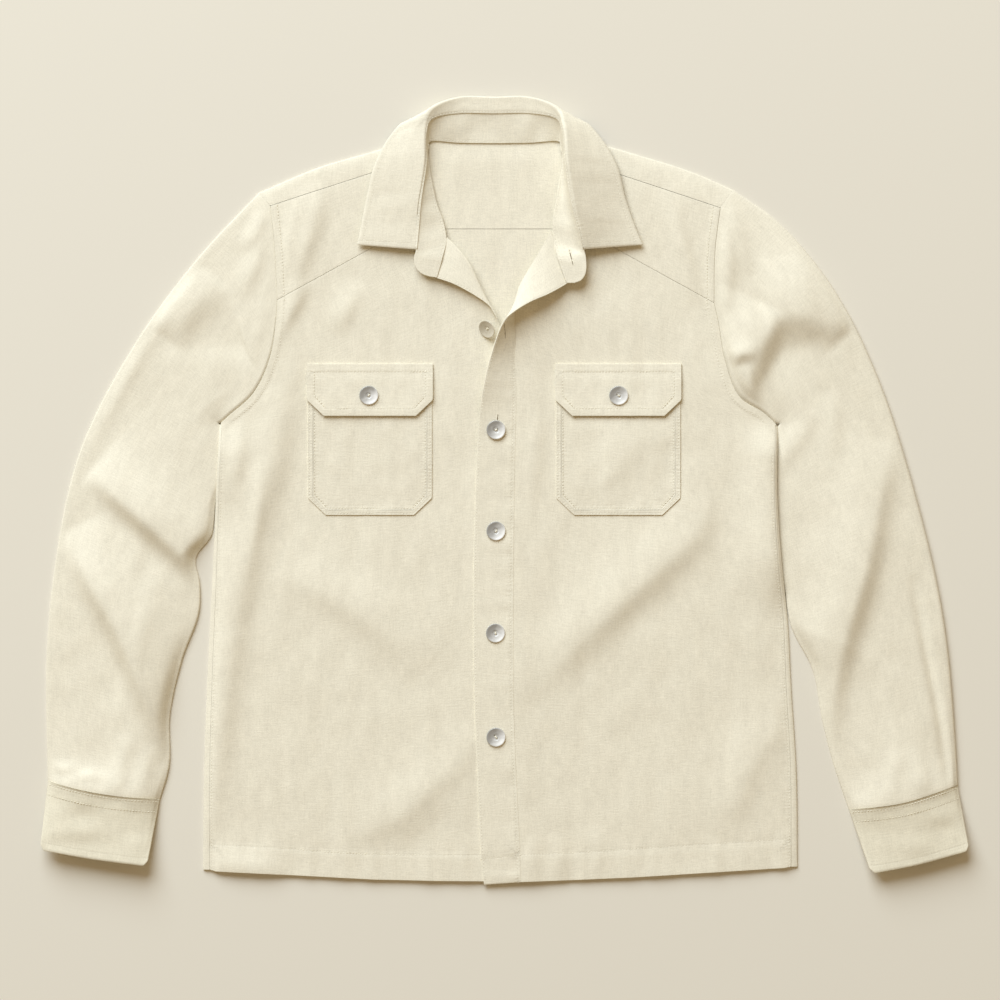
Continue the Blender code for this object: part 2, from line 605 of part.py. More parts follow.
def make_back_yoke():
    """The yoke: flat under the neck, folded over both shoulders to the front shoulder seams."""
    steps = YOKE_COLUMNS
    fold = {side: smooth_line(OUTLINE[side]["shoulder_fold"], steps) for side in OUTLINE}
    seam = {side: smooth_line(OUTLINE[side]["shoulder_seam"], steps) for side in OUTLINE}
    stations = COLLAR[:BACK_STATIONS]
    under = [(-s.seam[0] + s.lean, s.seam[1]) for s in stations[::-1]]
    under += [(s.seam[0] + s.lean, s.seam[1]) for s in stations[1:]]
    neck = smooth_line([fold["right"][-1], *under, fold["left"][-1]], steps)
    high = joined(fold["right"], neck, fold["left"][::-1])
    low_ends = ARMHOLE["right"][ARMHOLE_BACK_STEPS], ARMHOLE["left"][ARMHOLE_BACK_STEPS]
    share = (high[:, 0] - high[0, 0]) / (high[-1, 0] - high[0, 0])
    low = low_ends[0] + share[:, None] * (low_ends[1] - low_ends[0])
    outer = [ARMHOLE[side][ARMHOLE_BACK_STEPS:] for side in ("right", "left")]
    plan = drawn_in(patch(low, high, *outer), rows=(True, False))
    rims = {"right": range(0, steps + 1), "left": range(2 * steps, len(high))}
    sheets = []
    for size, level in ((BODY_FOLD, 0), (BODY_FOLD - CLOTH, CLOTH)):
        sheet = with_height(plan, level)
        strips = []
        for side, columns in rims.items():
            folded = []
            for k, column in enumerate(columns):
                place = k if side == "right" else steps - k
                inwards = seam[side][place] - fold[side][place]
                reach = np.linalg.norm(inwards)
                inwards = inwards / reach
                round_edge = fold_points(plan[-1, column], inwards, BODY_FOLD, size)
                sheet[-1, column] = round_edge[0]
                stop = plan[-1, column] + inwards * (reach - SEAM / 2)
                top = body_lift(stop[None], side)[0] + (CLOTH if level == 0 else 0)
                folded.append(round_edge[1:] + [(*stop, top)])
            strips.append(np.swapaxes(np.array(folded), 0, 1))
        sheets.append((sheet, strips))
    base = numbered(plan.shape[:2])
    faces = faces_of(base)
    count = base.size
    for strip, columns in zip(sheets[0][1], rims.values()):
        extra = numbered(strip.shape[:2], count)
        count += extra.size
        faces += faces_of(np.vstack([base[-1][list(columns)], extra]))
    points = [np.vstack([sheet.reshape(-1, 3)] + [strip.reshape(-1, 3) for strip in strips])
              for sheet, strips in sheets]
    return wall("back_yoke", points[0], points[1], faces)


def sleeve_fold(points, side):
    """Radius of the folds along a sleeve, growing from the armhole down."""
    share = smooth_step(nearest(points, ARMHOLE[side])[0] / SLEEVE_FOLD_REACH)
    return BODY_FOLD + (SLEEVE_FOLD - BODY_FOLD) * share


def make_sleeve(side):
    """A sleeve from the armhole to the cuff, flat underneath.

    Its rows start on the upper armhole. Their inner ends run down the armhole to the pit and then along
    the underarm fold.
    """
    edges = OUTLINE[side]
    pit_row = ARMHOLE_FRONT_STEPS
    upper = ARMHOLE[side][:pit_row - 1:-1]
    underarm = smooth_line(edges["sleeve_inner"], SLEEVE_ROWS)
    inner = np.vstack([ARMHOLE[side][pit_row:0:-1], underarm])
    outer = smooth_line(edges["sleeve_outer"], len(inner) - 1)
    seam = smooth_line(edges["cuff_seam"], len(upper) - 1)
    plan = drawn_in(patch(upper, seam, outer, inner), columns=(False, False))
    plan[1:pit_row] = drawn_in(plan[1:pit_row], rows=(False, False), columns=(False, True))
    points = plan.reshape(-1, 2)
    bends = sleeve_fold(points, side)
    lift = upper_lift(points, side, SLEEVE_LIFT, SLEEVE_FOLDS[side], bends).reshape(plan.shape[:2])
    radius = bends.reshape(plan.shape[:2])[:, [0, -1]]
    return tube("sleeve_" + side, plan, lift, radius, CLOTH, open_rows=pit_row)


def make_cuff(side):
    """A buttoned cuff, a flattened tube beyond the sleeve."""
    edges = OUTLINE[side]
    columns = ARMHOLE_YOKE_STEPS + 1
    seam = smooth_line(edges["cuff_seam"], columns)
    end = smooth_line(edges["cuff_end"], columns)
    rows = np.linspace(0, 1, CUFF_ROWS + 1)[:, None, None]
    plan = drawn_in((1 - rows) * seam + rows * end, rows=(True, False), columns=(False, False))
    from_edge = np.minimum(np.linalg.norm(plan - plan[:, :1], axis=-1),
                           np.linalg.norm(plan - plan[:, -1:], axis=-1))
    edge = 2 * SLEEVE_FOLD - BAND
    lift = edge + (CUFF_LIFT - edge) * (1 - np.exp(-from_edge / EDGE_REACH))
    return tube("cuff_" + side, plan, lift, np.full((CUFF_ROWS + 1, 2), SLEEVE_FOLD), BAND)


def collar_rows():
    """All collar sections from the right front round the back to the left front."""
    rows = []
    for side, stations in (("right", COLLAR[::-1]), ("left", COLLAR[1:])):
        sign = SIGN[side]
        for station in stations:
            x, y = sign * station.seam[0] + station.lean, station.seam[1]
            on_back = station in COLLAR[:BACK_STATIONS]
            below = 0 if on_back else body_lift(np.array([[x, y]]), side)[0]
            seam = (x, y, below + CLOTH + SEAM + BAND / 2)
            roll = (sign * station.roll[0] + station.lean, *station.roll[1:])
            edge = (sign * station.edge[0] + station.lean, *station.edge[1:])
            rows.append((*seam, *roll, *edge, station.share))
    return np.array(rows)


def tab_rows(sign):
    """Sections of the stand past the fall: seam and top edge."""
    return [(sign * t.seam[0], *t.seam[1:], sign * t.top[0], *t.top[1:]) for t in TAB]


def make_stand():
    """The collar stand, from tab to tab, from the neck seam up to the fall."""
    body = collar_rows()
    seam, roll, share = body[:, :3], body[:, 3:6], body[:, 9:]
    top = seam + share * (roll - seam)
    rows = np.vstack([tab_rows(-1)[::-1], np.hstack([seam, top]), tab_rows(1)])
    return band("collar_stand", ruled(sections(rows), STAND_COLUMNS), BAND)


def fall_section(row):
    """One section of the fall: up from the stand, round the roll, and down to the free edge."""
    seam, roll, edge, share = row[:3], row[3:6], row[6:9], row[9]
    up = roll - seam
    length = np.linalg.norm(up)
    up = up / length
    out = (edge - roll) - up * np.dot(edge - roll, up)
    out = out / np.linalg.norm(out)
    start = seam + up * (length * share + SEAM)
    turn = atan2(np.dot(edge - roll, out), np.dot(edge - roll, up))
    reach = max(length * (1 - share) - SEAM - ROLL * sin(min(turn, pi / 2)), LEAST_RISE)
    hub = start + up * reach + out * ROLL
    turns = np.linspace(0, turn, ROLL_POINTS)
    arc = [hub - out * ROLL * cos(a) + up * ROLL * sin(a) for a in turns]
    run = [arc[-1] + (edge - arc[-1]) * stop for stop in FALL_STOPS]
    return [start] + arc + run


def make_fall():
    """The collar fall, over the roll from the stand to its free edge."""
    rows = sections(collar_rows())
    return band("collar_fall", np.array([fall_section(row) for row in rows]), BAND)


def make_facing():
    """The top of the right front edge, turned back over the front from neck to break."""
    rows = []
    for turn in FACING:
        roll = np.array(turn.roll, float)
        level = body_lift(roll[None], "right")[0] + CLOTH + SEAM + CLOTH / 2
        rows.append((*roll, level, *turn.edge))
    return band("facing_right", ruled(sections(rows), STRIP_COLUMNS), CLOTH)


def placket_rows():
    """Sections of the placket: seam and free edge with their heights."""
    lap = lap_line("left")
    rows = []
    for k, strip in enumerate(PLACKET):
        seam = np.array([np.interp(strip.seam_y, lap[:, 1], lap[:, 0]), strip.seam_y])
        level = body_lift(seam[None], "left")[0] + BAND / 2
        if k >= PLACKET_FOLDED:
            level += CLOTH + SEAM
        rows.append((*seam, level, *strip.edge, level + strip.lift))
    return np.array(rows)


def make_placket():
    """The strip with the buttonholes, flat below and turned back at the neck."""
    rows = sections(placket_rows())
    rows[:, :3] = towards(rows[:, :3], rows[:, 3:], SEAM)
    return band("placket", ruled(rows, STRIP_COLUMNS), BAND)


def cut_corner_rows(width, low, corner, stops):
    """Half widths of a shape with cut lower corners at stops below its top edge."""
    rows = []
    for stop in stops:
        cut = max(0.0, (stop - (low - corner[1])) / corner[1])
        rows.append((stop, width / 2 - cut * corner[0]))
    return rows


def cut_corner_plan(side, width, low, corner, stops):
    """Plan grid of a pocket or flap on one side."""
    middle, top = POCKET_MIDDLE[side]
    across = np.linspace(-1, 1, POCKET_COLUMNS + 1)
    rows = cut_corner_rows(width, low, corner, stops)
    return np.array([[(middle + half * u, top - stop) for u in across] for stop, half in rows])


def make_pocket(side):
    """A patch pocket, on the front's own points moved out."""
    stops = (POCKET_TOP, *POCKET_ROWS, POCKET_BOTTOM - POCKET_CORNER[1], POCKET_BOTTOM)
    plan = cut_corner_plan(side, POCKET_WIDTH, POCKET_BOTTOM, POCKET_CORNER, stops)
    return panel("pocket_" + side, plan, body_lift(plan, side) + CLOTH + POCKET_GAP, CLOTH)


def flap_lift(plan, side):
    """Height of a flap's underside: on the front at its seam, then over the pocket, and free below."""
    stop = POCKET_MIDDLE[side][1] - plan[..., 1]
    over = FLAP_STEP * smooth_step(stop / FLAP_CLIMB)
    off = FLAP_LIFT * smooth_step((stop - FLAP_FREE) / (FLAP_DEPTH - FLAP_FREE))
    return body_lift(plan, side) + CLOTH + SEAM + over + off


def make_flap(side):
    """A pocket flap with cut corners."""
    stops = (*FLAP_ROWS, FLAP_DEPTH - FLAP_CORNER[1], FLAP_DEPTH)
    plan = cut_corner_plan(side, FLAP_WIDTH, FLAP_DEPTH, FLAP_CORNER, stops)
    return panel("flap_" + side, plan, flap_lift(plan, side), BAND)


def button_mesh():
    """A turned shell button: raised rim, dished face and two thread holes."""
    shape = bmesh.new()
    points = [shape.verts.new((p.radius * MM, 0, p.height * MM)) for p in BUTTON_PROFILE]
    lines = [shape.edges.new(pair) for pair in zip(points, points[1:])]
    bmesh.ops.spin(shape, geom=points + lines, cent=(0, 0, 0), axis=(0, 0, 1), angle=2 * pi,
                   steps=BUTTON_SIDES, use_merge=True)
    bmesh.ops.remove_doubles(shape, verts=shape.verts, dist=1e-6)
    bmesh.ops.recalc_face_normals(shape, faces=shape.faces)
    mesh = bpy.data.meshes.new("button")
    shape.to_mesh(mesh)
    shape.free()
    return mesh


def drilled(mesh):
    """The button's mesh with its thread holes cut through."""
    body = bpy.data.objects.new("button_blank", mesh)
    bpy.context.scene.collection.objects.link(body)
    drills = []
    for sign in (-1, 1):
        shape = bmesh.new()
        bmesh.ops.create_cone(shape, cap_ends=True, segments=BUTTON_HOLE_SIDES, radius1=BUTTON_HOLE * MM,
                              radius2=BUTTON_HOLE * MM, depth=4 * BUTTON_HEIGHT * MM)
        bmesh.ops.translate(shape, vec=(sign * BUTTON_HOLE_SPACING / 2 * MM, 0, 0), verts=shape.verts)
        drill_mesh = bpy.data.meshes.new("button_drill")
        shape.to_mesh(drill_mesh)
        shape.free()
        drill = bpy.data.objects.new("button_drill", drill_mesh)
        bpy.context.scene.collection.objects.link(drill)
        cut = body.modifiers.new("thread_hole", "BOOLEAN")
        cut.operation = "DIFFERENCE"
        cut.object = drill
        drills.append(drill)
    graph = bpy.context.evaluated_depsgraph_get()
    result = bpy.data.meshes.new_from_object(body.evaluated_get(graph))
    for thing in drills + [body]:
        bpy.data.objects.remove(thing, do_unlink=True)
    return result


def cloth_below(button, points):
    """Height of the cloth under a button at the given plan points."""
    if "flap" in button.name:
        side = "right" if button.x < 0 else "left"
        return flap_lift(points, side) + BAND
    if button.name in ON_RIGHT_FRONT:
        return body_lift(points, "right") + CLOTH
    rows = sections(placket_rows(), SEAT_STEPS)
    near = rows[np.abs(rows[:, 1] - button.y) < SEAT_REACH]
    return np.max(near[:, 2] + BUTTON_SHARE * (near[:, 5] - near[:, 2])) + BAND / 2


def button_height(button):
    """Height of a button's middle, where its underside just clears the cloth."""
    turns = np.linspace(0, 2 * pi, SEAT_TURNS, endpoint=False)
    off = np.array([(r * cos(a), r * sin(a)) for r in SEAT_RINGS for a in turns])
    rise = sin(radians(button.tilt)) * (button.about[0] * off[:, 1] - button.about[1] * off[:, 0])
    return np.max(cloth_below(button, off + (button.x, button.y)) - rise) + SEAM


def make_buttons():
    """All buttons, each on the cloth below it."""
    mesh = drilled(button_mesh())
    mesh.shade_smooth()
    mesh.materials.append(finish_of(*SHELL))
    for button in BUTTONS:
        thing = bpy.data.objects.new(button.name, mesh)
        bpy.context.scene.collection.objects.link(thing)
        thing.location = (button.x * MM, button.y * MM, button_height(button) * MM)
        thing.rotation_mode = "AXIS_ANGLE"
        thing.rotation_axis_angle = (radians(button.tilt), *button.about, 0)


def main():
    """Build every piece of the garment."""
    for thing in list(bpy.data.objects):
        bpy.data.objects.remove(thing, do_unlink=True)
    make_back()
    make_back_yoke()
    for side in OUTLINE:
        make_front(side)
        make_front_yoke(side)
        make_sleeve(side)
        make_cuff(side)
        make_pocket(side)
        make_flap(side)
    make_facing()
    make_placket()
    make_stand()
    make_fall()
    make_buttons()


main()
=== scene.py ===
"""Looks of an overshirt laid flat: its cloth, seams, stitches and buttons, with a floor, light and camera.

Lengths are millimetres until a mesh is made. The frame is the part's own: the garment lies on Z = 0 with
its collar towards +Y. Right and left are the wearer's, so the right side is at -X. Each cloth piece is a
thin shell between two matching sheets of points over the plan of its solid.
"""
import logging
from collections import Counter
from dataclasses import dataclass, field
from enum import Enum
from math import atan2, cos, pi, radians, sin
from typing import Any, ClassVar, Sequence

import bmesh
import bpy
import numpy as np
from bpy.types import Material, Mesh, Node, NodeSocket, NodeTree, Object
from mathutils import Matrix, Vector


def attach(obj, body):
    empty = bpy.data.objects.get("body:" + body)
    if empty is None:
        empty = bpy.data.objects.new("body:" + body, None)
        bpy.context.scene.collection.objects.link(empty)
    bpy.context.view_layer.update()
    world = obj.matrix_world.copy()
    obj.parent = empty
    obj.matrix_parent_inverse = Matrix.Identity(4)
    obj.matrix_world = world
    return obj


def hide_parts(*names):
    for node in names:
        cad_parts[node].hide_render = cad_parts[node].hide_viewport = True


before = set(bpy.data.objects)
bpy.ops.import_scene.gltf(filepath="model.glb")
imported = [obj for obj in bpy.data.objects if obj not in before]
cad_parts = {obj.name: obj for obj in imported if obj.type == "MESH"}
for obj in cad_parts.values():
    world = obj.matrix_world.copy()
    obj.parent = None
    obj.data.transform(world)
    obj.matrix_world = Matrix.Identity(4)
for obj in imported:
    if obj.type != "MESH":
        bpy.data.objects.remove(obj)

Array = np.ndarray
Triple = tuple[float, float, float]

LOG = logging.getLogger("overshirt")

# Sizes shared by the pieces
MM = 0.001
CLOTH = 1.1  # wall of one layer of shirting
BAND = 1.6  # wall of collar, cuffs, placket and flaps, which are doubled
GAP = 0.14  # gap between two pieces at a seam
SEAM_GAP = 0.3  # the same on one side of the yokes' seams
BODY_LIFT = 3.4  # underside of the fronts over the floor
ARMHOLE_LIFT = 5.2  # the same at the armhole seams
CUFF_LIFT = 14.4  # the same along the cuffs' seams, over their lower layer
LEAST_LIFT = 1.4  # no upper layer comes lower than this
LEAST_SOFT = 0.5  # how softly an upper layer settles on that height
EDGE_REACH = 14.0  # how far in from the body's folded edges the cloth still rises
SLEEVE_REACH = 50.0  # the same on a sleeve
ARMHOLE_REACH = 45.0  # how far from the armhole seams the cloth keeps their height
FADE_REACH = 7.0  # creases die out this close to folded edges and armholes
BODY_FOLD = 1.25  # outer radius of the folds along sides and shoulders
CUFF_FOLD = 2.3  # the same along a cuff
CUFF_END = 3.2  # the same at the cuffs' ends, over their lower layer
CUFF_REACH = 45.0  # how far from the cuffs the sleeves' edges are as steep as theirs
SWELL_REACH = 130.0  # how far from the cuffs the sleeves swell to their height
CUFF_CALM = 0.7  # share of a sleeve's folds that dies out at the cuff's seam
CALM_REACH = 9.0  # how far from the seam it does
TUCK_REACH = 3.0  # how far in from its edge a sleeve rises where the body lies on it
DIP_REACH = 50.0  # how far the body holds a sleeve down beside it
SLEEVE_FOLD_REACH = 150.0  # how far from the armhole a sleeve's outer fold gets its own radius
STEEP_REACH = 60.0  # how far from the armhole the edges rise as steeply as the body's
PARTING_REACH = 60.0  # over which the inner fold changes below the parting of body and sleeve
LIFT_FROM = 70.0  # how far above that parting the body's edge is lifted in full
LIFT_TOP = 84.0  # Y above which the edge isn't lifted
LIFT_TO = 42.0  # how far below that Y it is lifted in full
LIFT_REACH = 30.0  # how far in from the edge the lift goes
HUMP_REACH = 5.0  # how soon inside the edge the body has its hump
LAP_LIFT = 2.0  # rise of the left front towards the placket
LAP_REACH = 32.0  # how far from the placket it starts
STRIP_AT_PIT = 2.5  # width of the back that shows beside the side seam
STRIP_AT_HEM = 6.5  # the same at the hem
YOKE_SEAM = 271.0  # Y of the seam between back and yoke
ROLL = 2.0  # radius of the collar's roll, at most
ROLL_SHARE = 0.12  # the same as a share of its height
OVERLAP = 2.4  # how far the fall's lower edge lies over the stand
LIP = 1.0  # how far that edge stands proud of it
LEAST_RISE = 0.3  # shortest straight part of the fall below its roll
RIM = np.array([0.0, 0.1, 0.24, 0.46])  # rows of points that round off a cut edge
RIM_LEAST = 0.7  # share of the wall that is left at the very edge
CREASE_STEPS = 16  # steps of a line that few points are measured from
LINE_STEPS = 60  # steps of other lines
EDGE_STEPS = 120  # steps of the edges across sleeves and cuffs
PUCKER_REACH = 13.0  # how far from a stitch row the cloth puckers
PUCKER_FADE = 4.0  # over which the pucker then dies out
NECK_ACROSS = (-72.0, 62.0, 16.0)  # X of the open neck's sides, and over which its waves fade
NECK_UP = (165.0, 335.0, 22.0)  # the same along Y
NECK_SLOW = 0.6  # height of its slow waves
NECK_QUICK = 0.3  # height of its quick waves
FOLD_ANGLES = tuple(radians(a) for a in (-90, -58, -28, 0, 28, 58, 90))
LIGHT_PLAN = np.array([-0.4, 0.9165])  # where the key light comes from, in plan


class Side(Enum):
    """The wearer's two sides, with their sign along X."""

    RIGHT = -1
    LEFT = 1

    @property
    def word(self) -> str:
        """The side's name in node names."""
        return self.name.lower()


def through(points: Array, spacing: Array, count: int) -> Array:
    """A smooth curve through points.

    Args:
        points: The points.
        spacing: Distance from each point to the next.
        count: Steps between two points.

    Returns:
        The curve as a dense row of points.
    """
    steps = np.diff(points, axis=0) / spacing[:, None]
    inner = steps[:-1] * spacing[1:, None] + steps[1:] * spacing[:-1, None]
    slopes = np.vstack([steps[:1], inner / (spacing[1:] + spacing[:-1])[:, None], steps[-1:]])
    t = (np.arange(count) / count)[:, None]
    parts = []
    for k, length in enumerate(spacing):
        parts.append((2 * t**3 - 3 * t**2 + 1) * points[k] + (t**3 - 2 * t**2 + t) * length * slopes[k]
                     + (3 * t**2 - 2 * t**3) * points[k + 1] + (t**3 - t**2) * length * slopes[k + 1])
    return np.vstack(parts + [points[-1:]])


def curve(knots: Sequence, count: int = 24) -> Array:
    """A dense smooth curve through a few knots, with count steps between two of them."""
    points = np.array(knots, float)
    return through(points, np.linalg.norm(np.diff(points, axis=0), axis=1), count)


def sections(rows: Sequence, count: int) -> Array:
    """A table's rows with count smooth steps between each two of them."""
    points = np.array(rows, float)
    return through(points, np.ones(len(points) - 1), count)


def arc(line: Array) -> Array:
    """Distance along a line at each of its points."""
    return np.concatenate([[0], np.cumsum(np.linalg.norm(np.diff(line, axis=0), axis=1))])


def along(line: Array, shares: Array) -> Array:
    """Points at the given shares of a line's length.

    Args:
        line: The line.
        shares: Shares of its length.

    Returns:
        The points.
    """
    lengths = arc(line)
    wanted = np.asarray(shares) * lengths[-1]
    return np.stack([np.interp(wanted, lengths, line[:, k]) for k in range(line.shape[1])], axis=1)


def share_at(line: Array, up: float) -> float:
    """Share of a rising plan line's length at which it reaches a Y."""
    lengths = arc(line)
    return float(np.interp(up, line[:, 1], lengths) / lengths[-1])


def spaced(line: Array, steps: int = LINE_STEPS) -> Array:
    """The line again in equal steps."""
    return along(line, np.linspace(0, 1, steps + 1))


def joined(*lines: Array) -> Array:
    """Lines end to end, without the doubled points."""
    return np.vstack([lines[0]] + [line[1:] for line in lines[1:]])


def offset(line: Array, distance: float) -> Array:
    """A plan line moved to its left by a distance.

    Args:
        line: The line.
        distance: How far.

    Returns:
        The moved line.
    """
    way = np.gradient(line, axis=0)
    way = way / np.linalg.norm(way, axis=1, keepdims=True)
    return line + distance * np.stack([-way[:, 1], way[:, 0]], axis=1)


def nearest(points: Array, line: Array) -> tuple[Array, Array, Array]:
    """Where points lie beside a line.

    Args:
        points: Plan points or points in space.
        line: The line, with as many coordinates.

    Returns:
        Distance from the line, share of the way along it, and the side in plan, where 1 is left.
    """
    start = line[:-1]
    way = line[1:] - start
    off = points[:, None, :] - start
    share = np.clip((off * way).sum(-1) / np.maximum((way * way).sum(-1), 1e-9), 0, 1)
    off = off - share[..., None] * way
    distance = np.linalg.norm(off, axis=-1)
    best = distance.argmin(axis=1)
    pick = np.arange(len(points))
    step = way[best]
    side = np.where(step[:, 0] * off[pick, best, 1] - step[:, 1] * off[pick, best, 0] < 0, -1.0, 1.0)
    return distance[pick, best], (best + share[pick, best]) / len(way), side


def smooth_step(share: Array) -> Array:
    """A soft rise from 0 to 1."""
    share = np.clip(share, 0, 1)
    return share * share * (3 - 2 * share)


def close_to(distance: Array, reach: Any) -> Array:
    """1 at a line, dying out softly at a reach from it."""
    return np.exp(-(distance / reach) ** 2)


def window(values: Array, low: float, high: float, soft: float) -> Array:
    """1 between low and high, with soft ends outside them."""
    return smooth_step((values - low) / soft + 1) * smooth_step((high - values) / soft + 1)


def stops(length: float, pitch: float, inset: float = GAP / 2) -> Array:
    """Shares of a length for the rows of a grid, close together where its ends are rounded off.

    Args:
        length: The length.
        pitch: Distance between two rows.
        inset: How far in from the ends the grid starts.

    Returns:
        The shares.
    """
    first = inset + RIM[-1]
    count = max(2, round((length - 2 * first) / pitch))
    inner = np.linspace(first, length - first, count + 1)
    start = inset + RIM[:-1]
    return np.concatenate([start, inner, (length - start)[::-1]]) / length


def from_sides(inset: float, count: int) -> Array:
    """Shares across a row: one at each side and the others in equal steps from inset on."""
    return np.concatenate([[0], np.linspace(inset, 1 - inset, count - 1), [1]])


def from_rim(shares: Array, length: float) -> Array:
    """Distance of grid rows from the nearer end of the grid."""
    return np.minimum(shares - shares[0], shares[-1] - shares) * length


def wall_share(distance: Array, least: float = RIM_LEAST) -> Array:
    """How much of the wall's thickness is there at a distance from a rounded edge."""
    inside = np.clip(distance / RIM[-1], 0, 1)
    return least + (1 - least) * np.sqrt(1 - (1 - inside) ** 2)


def sample(points: Array, shares: Array) -> Array:
    """Points between those of an evenly numbered row.

    Args:
        points: The row.
        shares: Shares of its numbers.

    Returns:
        The points.
    """
    place = np.asarray(shares) * (len(points) - 1)
    number = np.arange(len(points))
    return np.stack([np.interp(place, number, points[:, k]) for k in range(points.shape[1])], axis=1)


def patch(edges: Sequence[Array], u: Array, v: Array) -> Array:
    """A grid of points inside four edges.

    Args:
        edges: Low and high edge, which the rows run along, then first and last edge.
        u: Shares across, for the columns.
        v: Shares up, for the rows.

    Returns:
        The grid, as rows of points.
    """
    low, high = (sample(edge, u)[None] for edge in edges[:2])
    first, last = (sample(edge, v)[:, None] for edge in edges[2:])
    a, b = u[None, :, None], v[:, None, None]
    corners = ((1 - a) * (1 - b) * edges[0][0] + a * (1 - b) * edges[0][-1]
               + (1 - a) * b * edges[1][0] + a * b * edges[1][-1])
    return (1 - b) * low + b * high + (1 - a) * first + a * last - corners


def with_height(plan: Array, height: Any) -> Array:
    """Plan points with a height each."""
    return np.concatenate([plan, np.broadcast_to(height, plan.shape[:-1])[..., None]], axis=-1)


def numbered(shape: Sequence[int], start: int = 0) -> Array:
    """Point numbers of a grid."""
    return start + np.arange(shape[0] * shape[1]).reshape(shape[:2])


def faces_of(index: Array) -> list[tuple[int, ...]]:
    """Four-sided faces of a grid of point numbers."""
    quads = np.stack([index[:-1, :-1], index[:-1, 1:], index[1:, 1:], index[1:, :-1]], axis=-1)
    return [tuple(quad) for quad in quads.reshape(-1, 4).tolist()]


def plan_area(line: Array) -> float:
    """Area inside a closed plan line, in square millimetres."""
    x, y = line[:, 0], line[:, 1]
    return abs(np.dot(x, np.roll(y, -1)) - np.dot(y, np.roll(x, -1))) / 2


def grid_run(grid: Array, axis: int) -> Array:
    """Distance of a grid's points from its first column, or with axis 0 from its first row."""
    steps = np.linalg.norm(np.diff(grid, axis=axis), axis=-1)
    return np.cumsum(np.insert(steps, 0, 0.0, axis=axis), axis=axis)


def grid_grain(grid: Array) -> Array:
    """Distances across and along a grid's threads at its points.

    Args:
        grid: The grid.

    Returns:
        Two distances for each point.
    """
    across = grid_run(grid, 1)
    middle = grid.shape[1] // 2
    up = arc(grid[:, middle])[:, None] + 0 * across
    return np.stack([across - across[:, middle:middle + 1], up], axis=-1)


def shown(name: str, data: Any) -> Object:
    """Put a new object in the scene.

    Args:
        name: Its name.
        data: Its mesh, light or camera.

    Returns:
        The object.
    """
    thing = bpy.data.objects.new(name, data)
    bpy.context.scene.collection.objects.link(thing)
    return thing


def mesh_of(name: str, shape: bmesh.types.BMesh) -> Mesh:
    """Make a mesh of a shape and free the shape.

    Args:
        name: Its name.
        shape: The shape.

    Returns:
        The mesh.
    """
    mesh = bpy.data.meshes.new(name)
    shape.to_mesh(mesh)
    shape.free()
    return mesh


def closed_mesh(name: str, points: Array, faces: Sequence) -> Mesh:
    """A mesh in metres with its faces turned outwards.

    Args:
        name: Its name.
        points: Points in millimetres.
        faces: Point numbers of each face.

    Returns:
        The mesh.
    """
    loose = bpy.data.meshes.new(name)
    loose.from_pydata((points * MM).tolist(), [], faces)
    shape = bmesh.new()
    shape.from_mesh(loose)
    bmesh.ops.recalc_face_normals(shape, faces=shape.faces)
    shape.to_mesh(loose)
    shape.free()
    return loose


def set_vectors(mesh: Mesh, label: str, values: Array) -> None:
    """Keep one vector for each point as an attribute of a mesh."""
    data = mesh.attributes.new(label, "FLOAT_VECTOR", "POINT")
    data.data.foreach_set("vector", values.astype(np.float32).ravel())


class Unevenness:
    """Smooth random heights between -1 and 1 over the plan, the same on every run."""

    def __init__(self, seed: int, across: float, up: float, count: int = 64) -> None:
        """Draw the heights.

        Args:
            seed: Chooses the heights.
            across: Distance between two heights along X.
            up: Distance between two heights along Y.
            count: Heights each way before they repeat.
        """
        self.cell = np.array([across, up])
        self.values = np.random.default_rng(seed).uniform(-1, 1, (count, count))

    def at(self, points: Array) -> Array:
        """Heights at plan points.

        Args:
            points: Plan points.

        Returns:
            One height for each point.
        """
        place = points / self.cell
        low = np.floor(place).astype(int)
        part = place - low
        part = part * part * (3 - 2 * part)
        count = len(self.values)
        total = np.zeros(points.shape[:-1])
        for i in (0, 1):
            for j in (0, 1):
                share = (part[..., 0] if i else 1 - part[..., 0]) * (part[..., 1] if j else 1 - part[..., 1])
                total += share * self.values[(low[..., 0] + i) % count, (low[..., 1] + j) % count]
        return total


@dataclass(frozen=True)
class Crease:
    """A soft fold of the upper layer.

    The path runs along the middle of its shaded slope, or along its crest if shift is 0. The crest lies on
    the side that the light comes from. Dark and lit are the reaches of the two slopes.
    """

    path: tuple
    rise: float
    dark: float = 16.0
    lit: float = 30.0
    shift: float = 0.7
    blunt: float = 1.0

    def height(self, points: Array) -> Array:
        """Height that the fold adds at plan points.

        Args:
            points: Plan points.

        Returns:
            One height for each point.
        """
        line = spaced(curve(self.path), CREASE_STEPS)
        distance, share, side = nearest(points, line)
        way = line[-1] - line[0]
        lit_side = 1.0 if np.dot((-way[1], way[0]), LIGHT_PLAN) > 0 else -1.0
        off = distance * side * lit_side - self.shift * self.dark
        reach = np.where(off < 0, self.dark, self.lit)
        return self.rise * np.sin(pi * np.clip(share, 0, 1)) ** self.blunt * close_to(off, reach)


